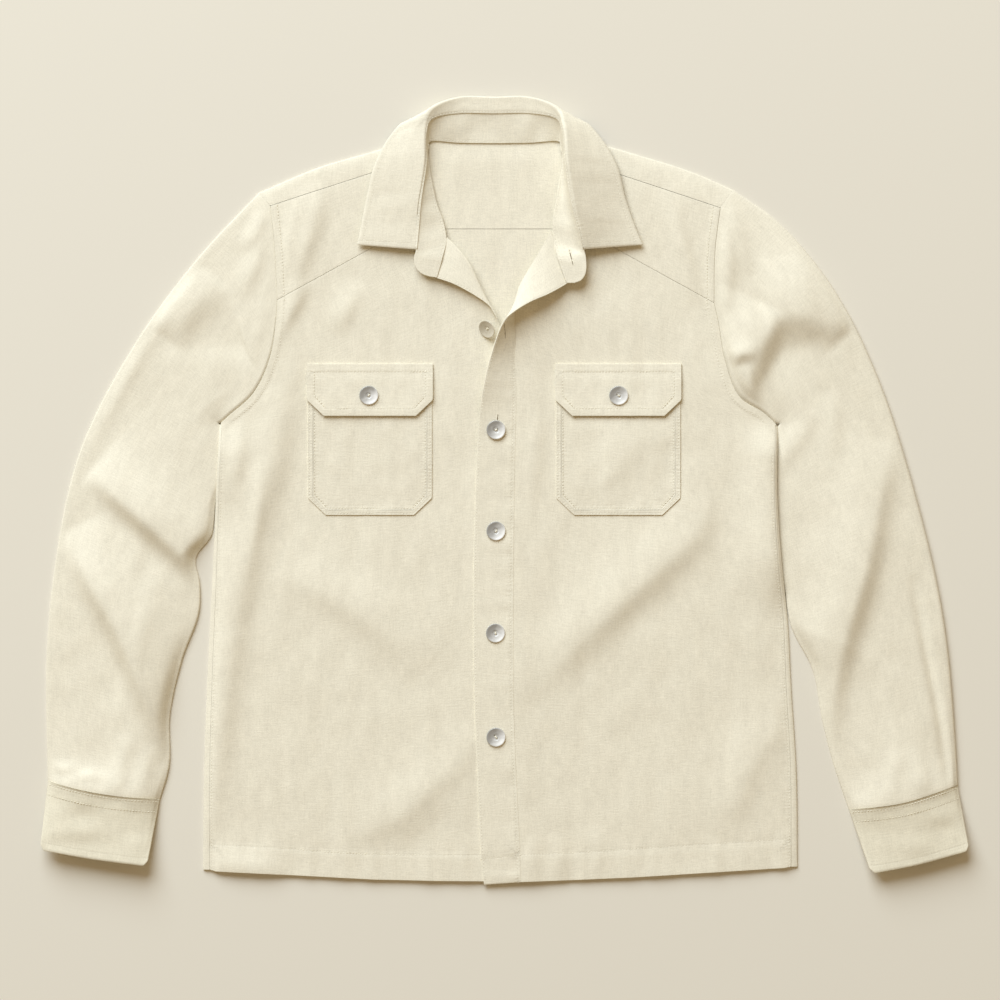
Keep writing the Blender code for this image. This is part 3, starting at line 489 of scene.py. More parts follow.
@dataclass(frozen=True)
class Dent:
    """A hollow with flat sides between its corners, which go round it in order, and its lowest place."""

    corners: tuple
    lowest: tuple
    depth: float
    power: float = 1.4
    soft: float = 0.5

    def height(self, points: Array) -> Array:
        """Height that the hollow adds at plan points, which is below 0 inside it.

        Args:
            points: Plan points.

        Returns:
            One height for each point.
        """
        corners = np.array(self.corners, float)
        deepest = np.full(len(points), -1e3)
        for start, end in zip(corners, np.roll(corners, -1, axis=0)):
            way = unit(end - start)
            normal = np.array([-way[1], way[0]])
            slope = -self.depth / np.dot(self.lowest - start, normal)
            deepest = np.logaddexp(deepest, slope * ((points - start) @ normal) / self.soft)
        share = self.soft * np.logaddexp(0, -deepest) / self.depth
        return -self.depth * share ** self.power


@dataclass(frozen=True)
class Pattern:
    """Outlines of one side in plan, a few points for each edge."""

    armhole: tuple
    armhole_yoke: tuple
    shoulder_fold: tuple
    shoulder_seam: tuple
    yoke_seam: tuple
    side: tuple
    hem: tuple
    centre: tuple
    roll: tuple
    sleeve_outer: tuple
    sleeve_inner: tuple
    cuff_seam: tuple
    cuff_end: tuple
    hem_stitch: tuple
    pocket_middle: tuple

    @property
    def tip(self) -> Array:
        """The outer end of the shoulder, as a row of one point."""
        return np.array(self.shoulder_fold[:1], float)


PATTERNS = {
    Side.RIGHT: Pattern(
        armhole=((-280.5, 75.5), (-272.5, 83), (-247, 106), (-230, 142), (-224, 178), (-222.5, 200)),
        armhole_yoke=((-222.5, 200), (-225, 250), (-229.5, 294)),
        shoulder_fold=((-241, 307), (-179, 333), (-121, 350), (-73.5, 366)),
        shoulder_seam=((-229.5, 294), (-72.6, 345)),
        yoke_seam=((-222.5, 200), (-60.6, 289)),
        side=((-296.8, -369.4), (-296, -281), (-292.5, -179), (-288, -89), (-284.5, -10), (-280.5, 75.5)),
        hem=((-284, -371.4), (-211, -375), (-125, -379.6), (-60, -381), (12, -381.5)),
        centre=((12, -381.5), (10, -200), (10, 80), (8, 150), (-1, 177)),
        roll=((-1, 177), (-16, 206), (-34, 242), (-55, 265)),
        sleeve_outer=((-241, 307), (-300, 244), (-366, 154), (-421, 45), (-444, -59), (-453, -150),
                      (-452, -281)),
        sleeve_inner=((-281, 76.4), (-274, 60), (-274.3, 40), (-275.2, 26), (-279.3, 11), (-284.3, -4),
                      (-285.8, -20), (-288, -34), (-304, -58), (-300, -84), (-300, -106),
                      (-318, -160), (-330, -215), (-331, -268), (-340, -299)),
        cuff_seam=((-452, -281), (-425, -288), (-388, -295), (-340, -299)),
        cuff_end=((-459, -349), (-411, -357.8), (-352, -365.5)),
        hem_stitch=((-290, -344.5), (-233, -347), (-155, -352.7), (-20, -355), (9, -355)),
        pocket_middle=(-130, 136),
    ),
    Side.LEFT: Pattern(
        armhole=((277.5, 74.5), (265, 86), (240.4, 102), (224.8, 140), (217, 183), (213.7, 197)),
        armhole_yoke=((213.7, 197), (214.8, 250), (220, 292)),
        shoulder_fold=((232.5, 310), (196, 326), (140, 344), (62.5, 366)),
        shoulder_seam=((220, 292), (63.4, 344)),
        yoke_seam=((213.7, 197), (56.6, 284)),
        side=((297.4, -366.4), (296, -267), (291, -187), (287.5, -120), (281, -59), (277, 4), (277.5, 74.5)),
        hem=((284, -368), (132, -377.5), (75, -380), (20, -382)),
        centre=((20, -382), (18.6, -342), (13, -212), (12.5, -120), (14, 41), (15.5, 115), (15, 150)),
        roll=((15, 150), (13.5, 182), (18, 208), (33, 236), (51, 265)),
        sleeve_outer=((232.5, 310), (274, 281), (318.6, 232), (347.6, 187), (376.6, 125), (412, 17),
                      (444, -123), (455, -240), (457.5, -285)),
        sleeve_inner=((279, 75.5), (270, 60), (268.8, 44), (269, 4), (272.5, -55), (278.5, -77), (285, -92),
                      (287, -107), (290, -122), (313, -171), (322, -219),
                      (333, -262), (349, -309.5)),
        cuff_seam=((457.5, -285), (397, -303.6), (349, -309.5)),
        cuff_end=((468.5, -350), (409, -366), (370.3, -373)),
        hem_stitch=((290.5, -338.6), (175, -346), (41, -354), (20, -354.7)),
        pocket_middle=(118.2, 136),
    ),
}

# Folds of the two fronts with their yokes, and of the two sleeves
BODY_CREASES = {
    Side.RIGHT: (
        Crease(((-58, 268), (-28, 228), (6, 166)), 6.0, 14, 24, shift=0, blunt=0.7),
        Crease(((-199, 138), (-208, 90), (-217, 40), (-236, -40), (-254, -130)), 5.2, 17, 25),
        Crease(((-242, -40), (-260, -150), (-271, -240), (-281, -330)), 5.0, 14, 20),
        Crease(((-250, 105), (-254, 55), (-264, -5)), 1.8, 8, 10),
        Crease(((-230, 45), (-238, -20), (-250, -80)), 1.8, 7, 9),
        Crease(((-232, -78), (-157, -117), (-80, -180)), 4.4, 19, 30),
        Crease(((-165, -352), (-112, -332), (-60, -293), (-14, -240)), 3.8, 16, 30),
        Crease(((-120, -356), (-70, -322), (-30, -290)), 0.8, 10, 16),
        Crease(((-171, 318), (-187, 252), (-201, 200)), 3.2, 10, 14),
        Crease(((-186, 218), (-203, 189), (-221, 154)), 2.8, 8, 13),
        Crease(((-132, 216), (-146, 188), (-160, 162)), 2.0, 10, 12),
        Crease(((-195, 310), (-205, 262), (-213, 218)), 1.8, 7, 9),
        Crease(((-296, -362), (-262, -366), (-215, -372)), 3.6, 16, 14, shift=0),
    ),
    Side.LEFT: (
        Crease(((50, 266), (33, 236), (17, 206), (13, 165)), 4.5, 16, 30, shift=0, blunt=0.7),
        Crease(((218, 42), (210, -30), (155, -86), (92, -145), (20, -216)), 6.0, 18, 36),
        Crease(((288, -222), (263, -264), (250, -300), (236, -344)), 3.6, 16, 23),
        Crease(((171, 316), (187, 258), (205, 195)), 3.2, 8, 13),
        Crease(((164, 75), (129, 35), (94, -10)), 1.8, 16, 24),
        Crease(((43, 95), (40, 30), (35, -35)), 1.6, 9, 12),
        Crease(((101, -325), (104, -352), (103, -376)), 1.4, 8, 9),
        Crease(((59, -332), (66, -356), (64, -378)), 1.4, 8, 9),
        Crease(((38, -335), (36, -356), (40, -378)), 1.0, 6, 8),
    ),
}
SLEEVE_CREASES = {
    Side.RIGHT: (
        Crease(((-324, 154), (-298, 187), (-275, 215)), 5.6, 19, 54, blunt=0.7),
        Dent(((-279, 218), (-344, 149), (-240, 122)), (-257, 155), 3.6),
        Crease(((-227, 294), (-242, 262), (-258, 244)), 2.4, 8, 10),
        Crease(((-231, 268), (-240, 235), (-254, 198)), 2.0, 8, 10),
        Crease(((-327, 188), (-348, 154), (-375, 106), (-395, 72), (-409, 38)), 2.4, 10, 18, blunt=0.7),
        Crease(((-415, 22), (-375, -13), (-340, -44), (-292, -88)), 12.0, 12, 38, blunt=0.7),
        Crease(((-441, -36), (-412, -92), (-394, -122), (-368, -180), (-338, -262)), 15.0, 13, 40, blunt=0.8),
        Crease(((-456, -268), (-438, -272), (-416, -270)), 2.0, 5, 6),
        Crease(((-436, -284), (-410, -279), (-384, -283)), 2.0, 5, 6),
        Crease(((-379, -300), (-374, -270), (-365, -236)), 2.2, 8, 10),
        Crease(((-352, -300), (-350, -275), (-345, -244)), 1.9, 7, 9),
    ),
    Side.LEFT: (
        Crease(((218, 292), (233, 245), (230, 185)), 3.0, 8, 10),
        Crease(((226, 306), (248, 260), (260, 226)), 2.4, 8, 10),
        Crease(((299, 250), (311, 205), (325, 165)), 2.4, 12, 28),
        Crease(((253, 100), (265, 146), (284, 186)), 8.6, 13, 52, blunt=1.0),
        Crease(((336, 110), (340, 72), (337, 40)), 2.0, 9, 12),
        Crease(((266, 170), (294, 175), (312, 168), (330, 150)), 7.5, 20, 56, blunt=0.9),
        Dent(((252, 106), (277, 183), (330, 160), (318, 104)), (282, 148), 5.0),
        Crease(((248, 136), (256, 110), (268, 84)), 4.0, 5, 13),
        Crease(((230, 134), (244, 142), (256, 140)), 3.4, 6, 10),
        Crease(((270, 18), (300, 55), (322, 88)), 1.7, 10, 14),
        Crease(((397, 58), (387, 5), (371, -75), (349, -150), (334, -255)), 9.5, 13, 42),
        Crease(((412, -76), (424, -140), (437, -205), (449, -284)), -3.6, 5, 5, shift=0, blunt=0.6),
        Crease(((431, -304), (426, -276), (416, -244)), 2.0, 8, 10),
        Crease(((395, -306), (398, -276), (402, -250)), 1.6, 8, 10),
    ),
}
# Small unevenness of the cloth: seed, size across, size up and height
WRINKLES = ((11, 46, 60, 0.6), (31, 24, 36, 0.48), (41, 12, 75, 0.34), (51, 13, 17, 0.2))
SLEEVE_TILT = radians(15)  # how far the sleeves' threads lean outwards


@dataclass(frozen=True)
class SleeveFolds:
    """A sleeve's folded edges, and how the body lies on its inner one."""

    outer: float  # radius of the outer edge
    beside: float  # radius of the inner edge, under the body
    below: float  # radius of the inner edge, below the body
    reach: float  # how far in from the outer edge the cloth rises
    parting: float  # Y where body and sleeve part
    dip: float  # how far the body holds the sleeve down
    lift: float  # what the body's edge is lifted by
    hump: float  # what the body is higher by just inside its edge
    top: float  # height of the sleeve's upper layer
    cuff: float  # height of the cuff's end over the floor


SLEEVE_FOLDS = {
    Side.RIGHT: SleeveFolds(1.4, 1.3, 1.9, 120.0, -34, 3.0, 5.6, 0.0, 8.0, 13.5),
    Side.LEFT: SleeveFolds(3.0, 1.3, 1.3, 45.0, -122, 5.3, 8.0, 3.2, 9.3, 11.0),
}


class Half:
    """One side of the garment in plan, with the heights of its upper layer."""

    def __init__(self, side: Side) -> None:
        """Work out the lines that heights are taken from.

        Args:
            side: The side.
        """
        pattern = PATTERNS[side]
        self.side = side
        self.pattern = pattern
        self.folds = SLEEVE_FOLDS[side]
        self.armhole_front = curve(pattern.armhole)
        self.armhole_yoke = curve(pattern.armhole_yoke)
        self.armhole = spaced(np.vstack([joined(self.armhole_front, self.armhole_yoke), pattern.tip]))
        self.edge = curve(pattern.side)
        self.body_folds = [spaced(curve(line)) for line in (pattern.side, pattern.shoulder_fold)]
        self.sleeve_folds = [spaced(curve(line)) for line in (pattern.sleeve_outer, pattern.sleeve_inner)]
        self.cuff_seam = spaced(curve(pattern.cuff_seam), CREASE_STEPS)
        self.lap = joined(curve(pattern.centre), curve(pattern.roll))
        self.layers = tuple((Unevenness(seed + side.value, across, up), height)
                            for seed, across, up, height in WRINKLES)

    @property
    def seam(self) -> Array:
        """The seam beside the folded edge of the body, from the hem to the pit.

        Returns:
            The line.
        """
        line = spaced(self.edge)
        width = np.linspace(STRIP_AT_HEM, STRIP_AT_PIT, len(line))
        return line - np.stack([self.side.value * width, 0 * width], axis=1)

    def wrinkles(self, points: Array, tilt: float) -> Array:
        """Small uneven heights of the cloth, longer along threads that lean outwards by tilt.

        Args:
            points: Plan points.
            tilt: How far the threads lean outwards.

        Returns:
            One height for each point.
        """
        lean = tilt * self.side.value
        turned = points @ np.array([[cos(lean), -sin(lean)], [sin(lean), cos(lean)]])
        return sum(height * layer.at(turned) for layer, height in self.layers)

    def edge_rise(self, points: Array) -> Array:
        """How far the body's folded edge is lifted by the edge of the sleeve that it lies on.

        Args:
            points: Plan points.

        Returns:
            One height for each point.
        """
        away = nearest(points, self.body_folds[0])[0]
        up = points[:, 1]
        lifted = smooth_step((up - self.folds.parting) / LIFT_FROM) * smooth_step((LIFT_TOP - up) / LIFT_TO)
        height = self.folds.lift + self.folds.hump * (1 - np.exp(-away / HUMP_REACH))
        return height * lifted * close_to(away, LIFT_REACH)

    def level(self, points: Array, plateau: Any, radius: Any, reaches: Sequence,
              distances: Sequence[Array], relief: Array) -> Array:
        """Height of an upper layer's underside.

        Args:
            points: Plan points.
            plateau: Height away from all edges.
            radius: Outer radius of the folded edges.
            reaches: How far in from each folded edge the cloth still rises.
            distances: Distances from each folded edge.
            relief: Heights of the layer's own folds and wrinkles.

        Returns:
            One height for each point.
        """
        away = np.min(distances, axis=0)
        hole = nearest(points, self.armhole)[0]
        edge = 2 * radius - CLOTH
        level = plateau + (ARMHOLE_LIFT - plateau) * close_to(hole, ARMHOLE_REACH)
        near = smooth_step(hole / STEEP_REACH)
        shares = [1 - np.exp(-distance / (EDGE_REACH + (reach - EDGE_REACH) * near))
                  for distance, reach in zip(distances, reaches)]
        height = edge + (level - edge) * np.min(shares, axis=0)
        fade = (1 - close_to(away, FADE_REACH)) * (1 - close_to(hole, FADE_REACH))
        above = height + fade * relief - LEAST_LIFT
        return LEAST_LIFT + LEAST_SOFT * np.logaddexp(0, above / LEAST_SOFT)

    def body(self, plan: Array) -> Array:
        """Height of the fronts' underside over plan points.

        Args:
            plan: Plan points.

        Returns:
            One height for each point.
        """
        points = np.reshape(plan, (-1, 2))
        relief = self.wrinkles(points, 0.0) + sum(c.height(points) for c in BODY_CREASES[self.side])
        distances = [nearest(points, line)[0] for line in self.body_folds]
        height = self.level(points, BODY_LIFT, BODY_FOLD, (EDGE_REACH, EDGE_REACH), distances, relief)
        height = height + self.edge_rise(points)
        if self.side is Side.LEFT:
            height = height + LAP_LIFT * close_to(nearest(points, spaced(self.lap))[0], LAP_REACH)
        return height.reshape(np.shape(plan)[:-1])

    def below(self, points: Array) -> Array:
        """0 beside the body, 1 below the place where body and sleeve part."""
        return smooth_step((self.folds.parting - points[:, 1]) / PARTING_REACH)

    def outer_fold(self, points: Array) -> Array:
        """Radius of the sleeve's outer fold, as wide as the shoulder's at the armhole."""
        share = smooth_step(nearest(points, self.armhole)[0] / SLEEVE_FOLD_REACH)
        return BODY_FOLD + (self.folds.outer - BODY_FOLD) * share

    def inner_fold(self, points: Array) -> Array:
        """Radius of the sleeve's inner fold."""
        return self.folds.beside + (self.folds.below - self.folds.beside) * self.below(points)

    def sleeve(self, plan: Array) -> Array:
        """Height of the sleeve's upper underside over plan points.

        Args:
            plan: Plan points.

        Returns:
            One height for each point.
        """
        points = np.reshape(plan, (-1, 2))
        relief = self.wrinkles(points, SLEEVE_TILT)
        relief = relief + sum(crease.height(points) for crease in SLEEVE_CREASES[self.side])
        outer, inner = (nearest(points, line)[0] for line in self.sleeve_folds)
        share = outer / np.maximum(outer + inner, 1e-6)
        radius = self.outer_fold(points) * (1 - share) + self.inner_fold(points) * share
        below = self.below(points)
        reach = TUCK_REACH + (SLEEVE_REACH - TUCK_REACH) * below
        plateau = self.folds.top - self.folds.dip * (1 - below) * close_to(inner, DIP_REACH)
        seam = nearest(points, self.cuff_seam)[0]
        plateau = plateau + (CUFF_LIFT - plateau) * smooth_step(1 - seam / SWELL_REACH)
        steep = smooth_step(1 - seam / CUFF_REACH)
        reaches = [far + (EDGE_REACH - far) * steep for far in (self.folds.reach, reach)]
        relief = relief * (1 - CUFF_CALM * close_to(seam, CALM_REACH))
        height = self.level(points, plateau, radius, reaches, (outer, inner), relief)
        return height.reshape(np.shape(plan)[:-1])


@dataclass
class StitchRow:
    """A row of stitches on a piece, with how much it puckers the cloth."""

    points: Array
    pucker: float = 1.0


@dataclass
class Shell:
    """A closed piece of cloth: two matching sheets of points, their faces and the run of the threads."""

    upper: Array
    lower: Array
    faces: list
    grain: Array
    crisp: bool = False

    def sewn(self, points: Array, rows: Sequence[StitchRow]) -> Array:
        """Where points lie beside the nearest row of stitches.

        Args:
            points: Points in space.
            rows: The piece's stitch rows.

        Returns:
            Distance along the row, signed distance from it, and strength of the pucker.
        """
        best = np.full(len(points), 1e6)
        result = np.zeros((len(points), 3))
        for row in rows:
            distance, share, side = nearest(points[:, :2], row.points[:, :2])
            closer = distance < best
            run = share * arc(row.points)[-1]
            mask = row.pucker * smooth_step((PUCKER_REACH - distance) / PUCKER_FADE)
            values = np.stack([run, distance * side, mask], axis=1)
            result[closer] = values[closer]
            best = np.minimum(best, distance)
        return result

    def mesh(self, name: str, rows: Sequence[StitchRow]) -> Mesh:
        """The closed mesh, with its threads and seams as attributes of its points.

        Args:
            name: Its name.
            rows: The piece's stitch rows.

        Returns:
            The mesh.
        """
        upper, lower = self.upper.reshape(-1, 3), self.lower.reshape(-1, 3)
        count = len(upper)
        ways = Counter((a, b) for face in self.faces for a, b in zip(face, face[1:] + face[:1]))
        rim = [(b, a, a + count, b + count) for a, b in ways if (b, a) not in ways]
        back = [tuple(k + count for k in reversed(face)) for face in self.faces]
        points = np.vstack([upper, lower])
        mesh = closed_mesh(name, points, self.faces + back + rim)
        grain = np.tile(np.column_stack([self.grain.reshape(-1, 2), np.zeros(count)]), (2, 1))
        set_vectors(mesh, "grain", grain)
        set_vectors(mesh, "sewn", self.sewn(points, rows))
        mesh.shade_smooth()
        if self.crisp:
            ends = np.zeros(2 * len(mesh.edges), int)
            mesh.edges.foreach_get("vertices", ends)
            pairs = np.sort(ends.reshape(-1, 2), axis=1)
            border = np.sort([face[:2] for face in rim] + [face[2:] for face in rim], axis=1)
            sharp = np.isin(pairs @ (2 * count, 1), border @ (2 * count, 1))
            data = mesh.attributes.new("sharp_edge", "BOOLEAN", "EDGE")
            data.data.foreach_set("value", sharp)
        return mesh


def panel(plan: Array, base: Array, thickness: Any, edge: Array, raised: Any = 0.0) -> Shell:
    """A shell over plan points.

    Args:
        plan: The grid of plan points.
        base: Heights of the underside.
        thickness: The wall.
        edge: Distance of each point from the nearest cut edge, which is rounded off.
        raised: What the top lies higher by.

    Returns:
        The shell.
    """
    share = wall_share(edge)
    middle = base + thickness / 2
    upper = with_height(plan, middle + thickness / 2 * share + raised)
    lower = with_height(plan, middle - thickness / 2 * share)
    return Shell(upper, lower, faces_of(numbered(plan.shape)), grid_grain(upper))


def band(grid: Array, thickness: float, edge: Array, least: float = RIM_LEAST) -> Shell:
    """A shell whose middle runs through a grid of points in space, rounded off at its edges, upper side up.

    Args:
        grid: Points in space.
        thickness: The wall.
        edge: Distance of each point from the nearest edge that is rounded off.
        least: Share of the wall that is left at the very edge.

    Returns:
        The shell.
    """
    normal = np.cross(np.gradient(grid, axis=1), np.gradient(grid, axis=0))
    normal = normal / np.linalg.norm(normal, axis=-1, keepdims=True)
    if normal[..., 2].mean() < 0:
        normal = -normal
    half = normal * (thickness / 2 * wall_share(edge, least))[..., None]
    return Shell(grid + half, grid - half, faces_of(numbered(grid.shape)), grid_grain(grid))


def unit(way: Array) -> Array:
    """A way of length 1."""
    return way / np.linalg.norm(way)


def fold_points(edge: Array, inwards: Array, radius: float, size: float, up: float = 0.0) -> list:
    """Points round a folded edge from the underside up.

    Args:
        edge: The outermost plan point.
        inwards: The way in from it.
        radius: Outer radius of the fold.
        size: Radius that the points lie on.
        up: How far the fold is lifted.

    Returns:
        The points.
    """
    hub = edge + inwards * radius
    return [(*(hub - inwards * size * cos(a)), up + radius + size * sin(a)) for a in FOLD_ANGLES]


def tube(plan: Array, lift: Array, radius: Array, thickness: float, edge: Array,
         open_rows: int = 0, rise: Array | None = None) -> Shell:
    """A flattened tube: a flat underside, a round fold at each edge and a top at the given heights.

    Args:
        plan: Rows of plan points from one folded edge to the other.
        lift: Heights of the top's underside.
        radius: Radius of the folds at both ends of each row.
        thickness: The wall.
        edge: Distance of each row from the nearer end of the tube, where the wall is rounded off.
        open_rows: On so many rows the second edge is not folded, and its two layers are left apart.
        rise: How far each row is lifted off the floor.

    Returns:
        The shell.
    """
    count = plan.shape[1]
    rise = np.zeros(len(plan)) if rise is None else rise
    trim = thickness / 2 * (1 - wall_share(edge))
    sheets = []
    for inner in (False, True):
        chain, closing = [], []
        for k, (row, heights, bends, up) in enumerate(zip(plan, lift, radius, rise)):
            shrink = thickness - trim[k] if inner else trim[k]
            low = up + shrink
            high = up + thickness - shrink
            first = fold_points(row[0], unit(row[1] - row[0]), bends[0], bends[0] - shrink, up)
            last = fold_points(row[-1], unit(row[-2] - row[-1]), bends[1], bends[1] - shrink, up)
            if k < open_rows:
                last = [(*row[-1], low), (*row[-1], heights[-1] + high)]
            top = [(*row[c], heights[c] + high) for c in range(count - 2, 0, -1)]
            bottom = [(*row[c], low) for c in range(1, count - 1)]
            chain.append([last[-1]] + top + first[::-1] + bottom + [last[0]])
            if k >= open_rows:
                closing.append(last[1:-1])
        sheets.append((np.array(chain), np.array(closing)))
    chain = numbered(sheets[0][0].shape)
    closing = numbered(sheets[0][1].shape, chain.size)
    folded = np.hstack([chain[open_rows:, -1:], closing, chain[open_rows:, :1]])
    points = [np.vstack([c.reshape(-1, 3), d.reshape(-1, 3)]) for c, d in sheets]
    grain = grid_grain(sheets[0][0])
    ends = np.broadcast_to(grain[open_rows:, :1], (*sheets[0][1].shape[:2], 2))
    flat = np.vstack([grain.reshape(-1, 2), ends.reshape(-1, 2)])
    return Shell(points[0], points[1], faces_of(chain) + faces_of(folded), flat)


@dataclass(frozen=True)
class Cut:
    """The flat cut of a piece: width, length and area in metres."""

    width: float
    length: float
    area: float


def cut_of(line: Array, layers: int = 1) -> Cut:
    """The cut of a piece with the given outline in plan, or of a tube with two such layers."""
    size = line.max(axis=0) - line.min(axis=0)
    return Cut(layers * size[0] * MM, size[1] * MM, layers * plan_area(line) * MM * MM)


def outline(edges: Sequence[Array]) -> Array:
    """The closed line round four edges: low, high, first and last."""
    low, high, first, last = edges
    return np.vstack([low, last, high[::-1], first[::-1]])


class ClothPiece:
    """A cut piece of cloth. Each kind gives its shell, stitch rows and cut."""

    name: str
    rests_on: tuple[str, ...] = ("floor",)

    def shell(self) -> Shell:
        """The piece's form."""
        raise NotImplementedError

    def rows(self) -> list[StitchRow]:
        """The piece's stitch rows."""
        return []

    def cut(self) -> Cut:
        """The piece's flat cut."""
        raise NotImplementedError

    def build(self) -> None:
        """Make the piece's object."""
        self.stitches = self.rows()
        self.thing = shown(self.name + "_cloth", self.shell().mesh(self.name + "_cloth", self.stitches))

    def dress(self, finish: Material) -> None:
        """Give the piece its finish, hang it on the root and hide the part of the same name.

        Args:
            finish: The finish.
        """
        self.thing.data.materials.append(finish)
        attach(self.thing, "root")
        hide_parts(self.name)
        cut = self.cut()
        self.rests_on
        LOG.info("%s: %d faces", self.thing.name, len(self.thing.data.polygons))


@dataclass
class SidePiece(ClothPiece):
    """A piece of one side, which is named after it."""

    half: Half
    word: ClassVar[str] = ""

    @property
    def name(self) -> str:
        """The piece's kind and side."""
        return f"{self.word}_{self.half.side.word}"


@dataclass
class Panel(SidePiece):
    """A panel of the upper layer: a grid inside four edges, felled along the armhole."""

    pitch: float = 3.0
    armhole_row: float = 7.0
    felled: float = 0.55
    fell_past: float = 1.6
    fell_soft: float = 2.6
    edge_steps: int = 200
    butted: ClassVar[bool] = False

    def edges(self) -> list[Array]:
        """Low, high, outer and inner edge."""
        raise NotImplementedError

    def raised(self, points: Array) -> Array:
        """What the felled armhole seam adds to the top."""
        hole = nearest(points, self.half.armhole)[0]
        return self.felled * smooth_step((self.armhole_row + self.fell_past - hole) / self.fell_soft)

    def shell(self) -> Shell:
        """The panel's form, with its edges rounded off, but for an inner one that another piece butts.

        Returns:
            The shell.
        """
        edges = self.edges()
        width, length = arc(edges[0])[-1], arc(edges[2])[-1]
        u, v = stops(width, self.pitch), stops(length, self.pitch, SEAM_GAP / 2)
        plan = patch(edges, u, v)
        across = (u - u[0]) * width if self.butted else from_rim(u, width)
        edge = np.minimum(across[None], from_rim(v, length)[:, None])
        raised = self.raised(plan.reshape(-1, 2)).reshape(plan.shape[:2])
        shell = panel(plan, self.half.body(plan), CLOTH, edge, raised)
        shell.crisp = self.butted
        return shell

    def cut(self) -> Cut:
        """The panel's outline laid flat."""
        return cut_of(outline(self.edges()))


@dataclass
class Front(Panel):
    """A front panel, from hem to yoke seam."""

    hem_depth: float = 26.0
    hem_rise: float = 0.45
    hem_past: float = 1.0  # how far past the hem's depth the turned cloth ends
    hem_soft: float = 3.0
    hem_ripple: float = 0.5
    hem_reach: tuple[float, float] = (24.0, 16.0)  # how far the ripples go, and over which they fade
    side_ripple: float = 0.35
    side_reach: tuple[float, float] = (6.0, 8.0)
    edge_steps: int = 400
    side_row: float = 1.9
    word = "front"
    rests_on = ("back",)
    butted = True

    def __post_init__(self) -> None:
        """Draw the ripples along hem and side."""
        self.ripple = Unevenness(5 + self.half.side.value, 9, 60)

    def edges(self) -> list[Array]:
        """Hem, yoke seam, outer edge and inner edge.

        Returns:
            The edges in that order.
        """
        half, pattern, steps = self.half, self.half.pattern, self.edge_steps
        outer = spaced(joined(half.seam, half.armhole_front), steps)
        neck = np.array([pattern.roll[-1], pattern.yoke_seam[-1]], float)
        inner = spaced(joined(half.lap, neck), steps)
        hem = spaced(np.array([outer[0], *pattern.hem]), steps)
        return [hem, spaced(curve(pattern.yoke_seam), steps), outer, inner]

    def raised(self, points: Array) -> Array:
        """What hem, armhole and side seams add to the top.

        Args:
            points: Plan points.

        Returns:
            One height for each point.
        """
        hem = nearest(points, spaced(np.array(self.half.pattern.hem, float)))[0]
        side = nearest(points, self.half.seam)[0]
        turned = smooth_step((self.hem_depth + self.hem_past - hem) / self.hem_soft)
        ripple = (self.hem_ripple * window(hem, 0, *self.hem_reach)
                  + self.side_ripple * window(side, 0, *self.side_reach))
        return self.hem_rise * turned + super().raised(points) + ripple * self.ripple.at(points)

    def top(self, points: Array) -> Array:
        """Plan points on the panel's top."""
        return with_height(points, self.half.body(points) + CLOTH + self.raised(points))

    def rows(self) -> list[StitchRow]:
        """Hem, armhole and side rows.

        Returns:
            The rows.
        """
        half, sign = self.half, self.half.side.value
        hole = offset(along(half.armhole_front, np.linspace(0.1, 1, 40)), sign * self.armhole_row)
        side = offset(half.seam, sign * self.side_row)[:-4]
        lines = ((curve(half.pattern.hem_stitch)[::-1], 1.0), (hole[::-sign], 0.8), (side, 1.0))
        return [StitchRow(self.top(line), strength) for line, strength in lines]


@dataclass
class FrontYoke(Panel):
    """The panel between the slanted chest seam and the shoulder seam."""

    collar: "CollarForm" = field(kw_only=True)
    word = "front_yoke"
    rests_on = ("back_yoke",)

    def edges(self) -> list[Array]:
        """Chest seam, shoulder seam, armhole and neck.

        Returns:
            The edges in that order.
        """
        pattern = self.half.pattern
        inner = self.collar.neck_line(self.half.side, pattern.yoke_seam[-1], pattern.shoulder_seam[-1])
        lines = (curve(pattern.yoke_seam), curve(pattern.shoulder_seam), self.half.armhole_yoke, inner)
        return [spaced(line, self.edge_steps) for line in lines]

    def rows(self) -> list[StitchRow]:
        """The armhole row.

        Returns:
            The rows.
        """
        sign = self.half.side.value
        line = offset(spaced(self.half.armhole_yoke, 24), sign * self.armhole_row)[::-sign]
        return [StitchRow(with_height(line, self.half.body(line) + CLOTH + self.felled), 0.8)]


def neck_waves(points: Array) -> Array:
    """Small waves of the back and its yoke where they show inside the neck.

    Args:
        points: Plan points.

    Returns:
        One height for each point.
    """
    place = window(points[..., 0], *NECK_ACROSS) * window(points[..., 1], *NECK_UP)
    slow, quick = Unevenness(71, 24, 60), Unevenness(73, 11, 34)
    return place * (1.0 + NECK_SLOW * slow.at(points) + NECK_QUICK * quick.at(points))


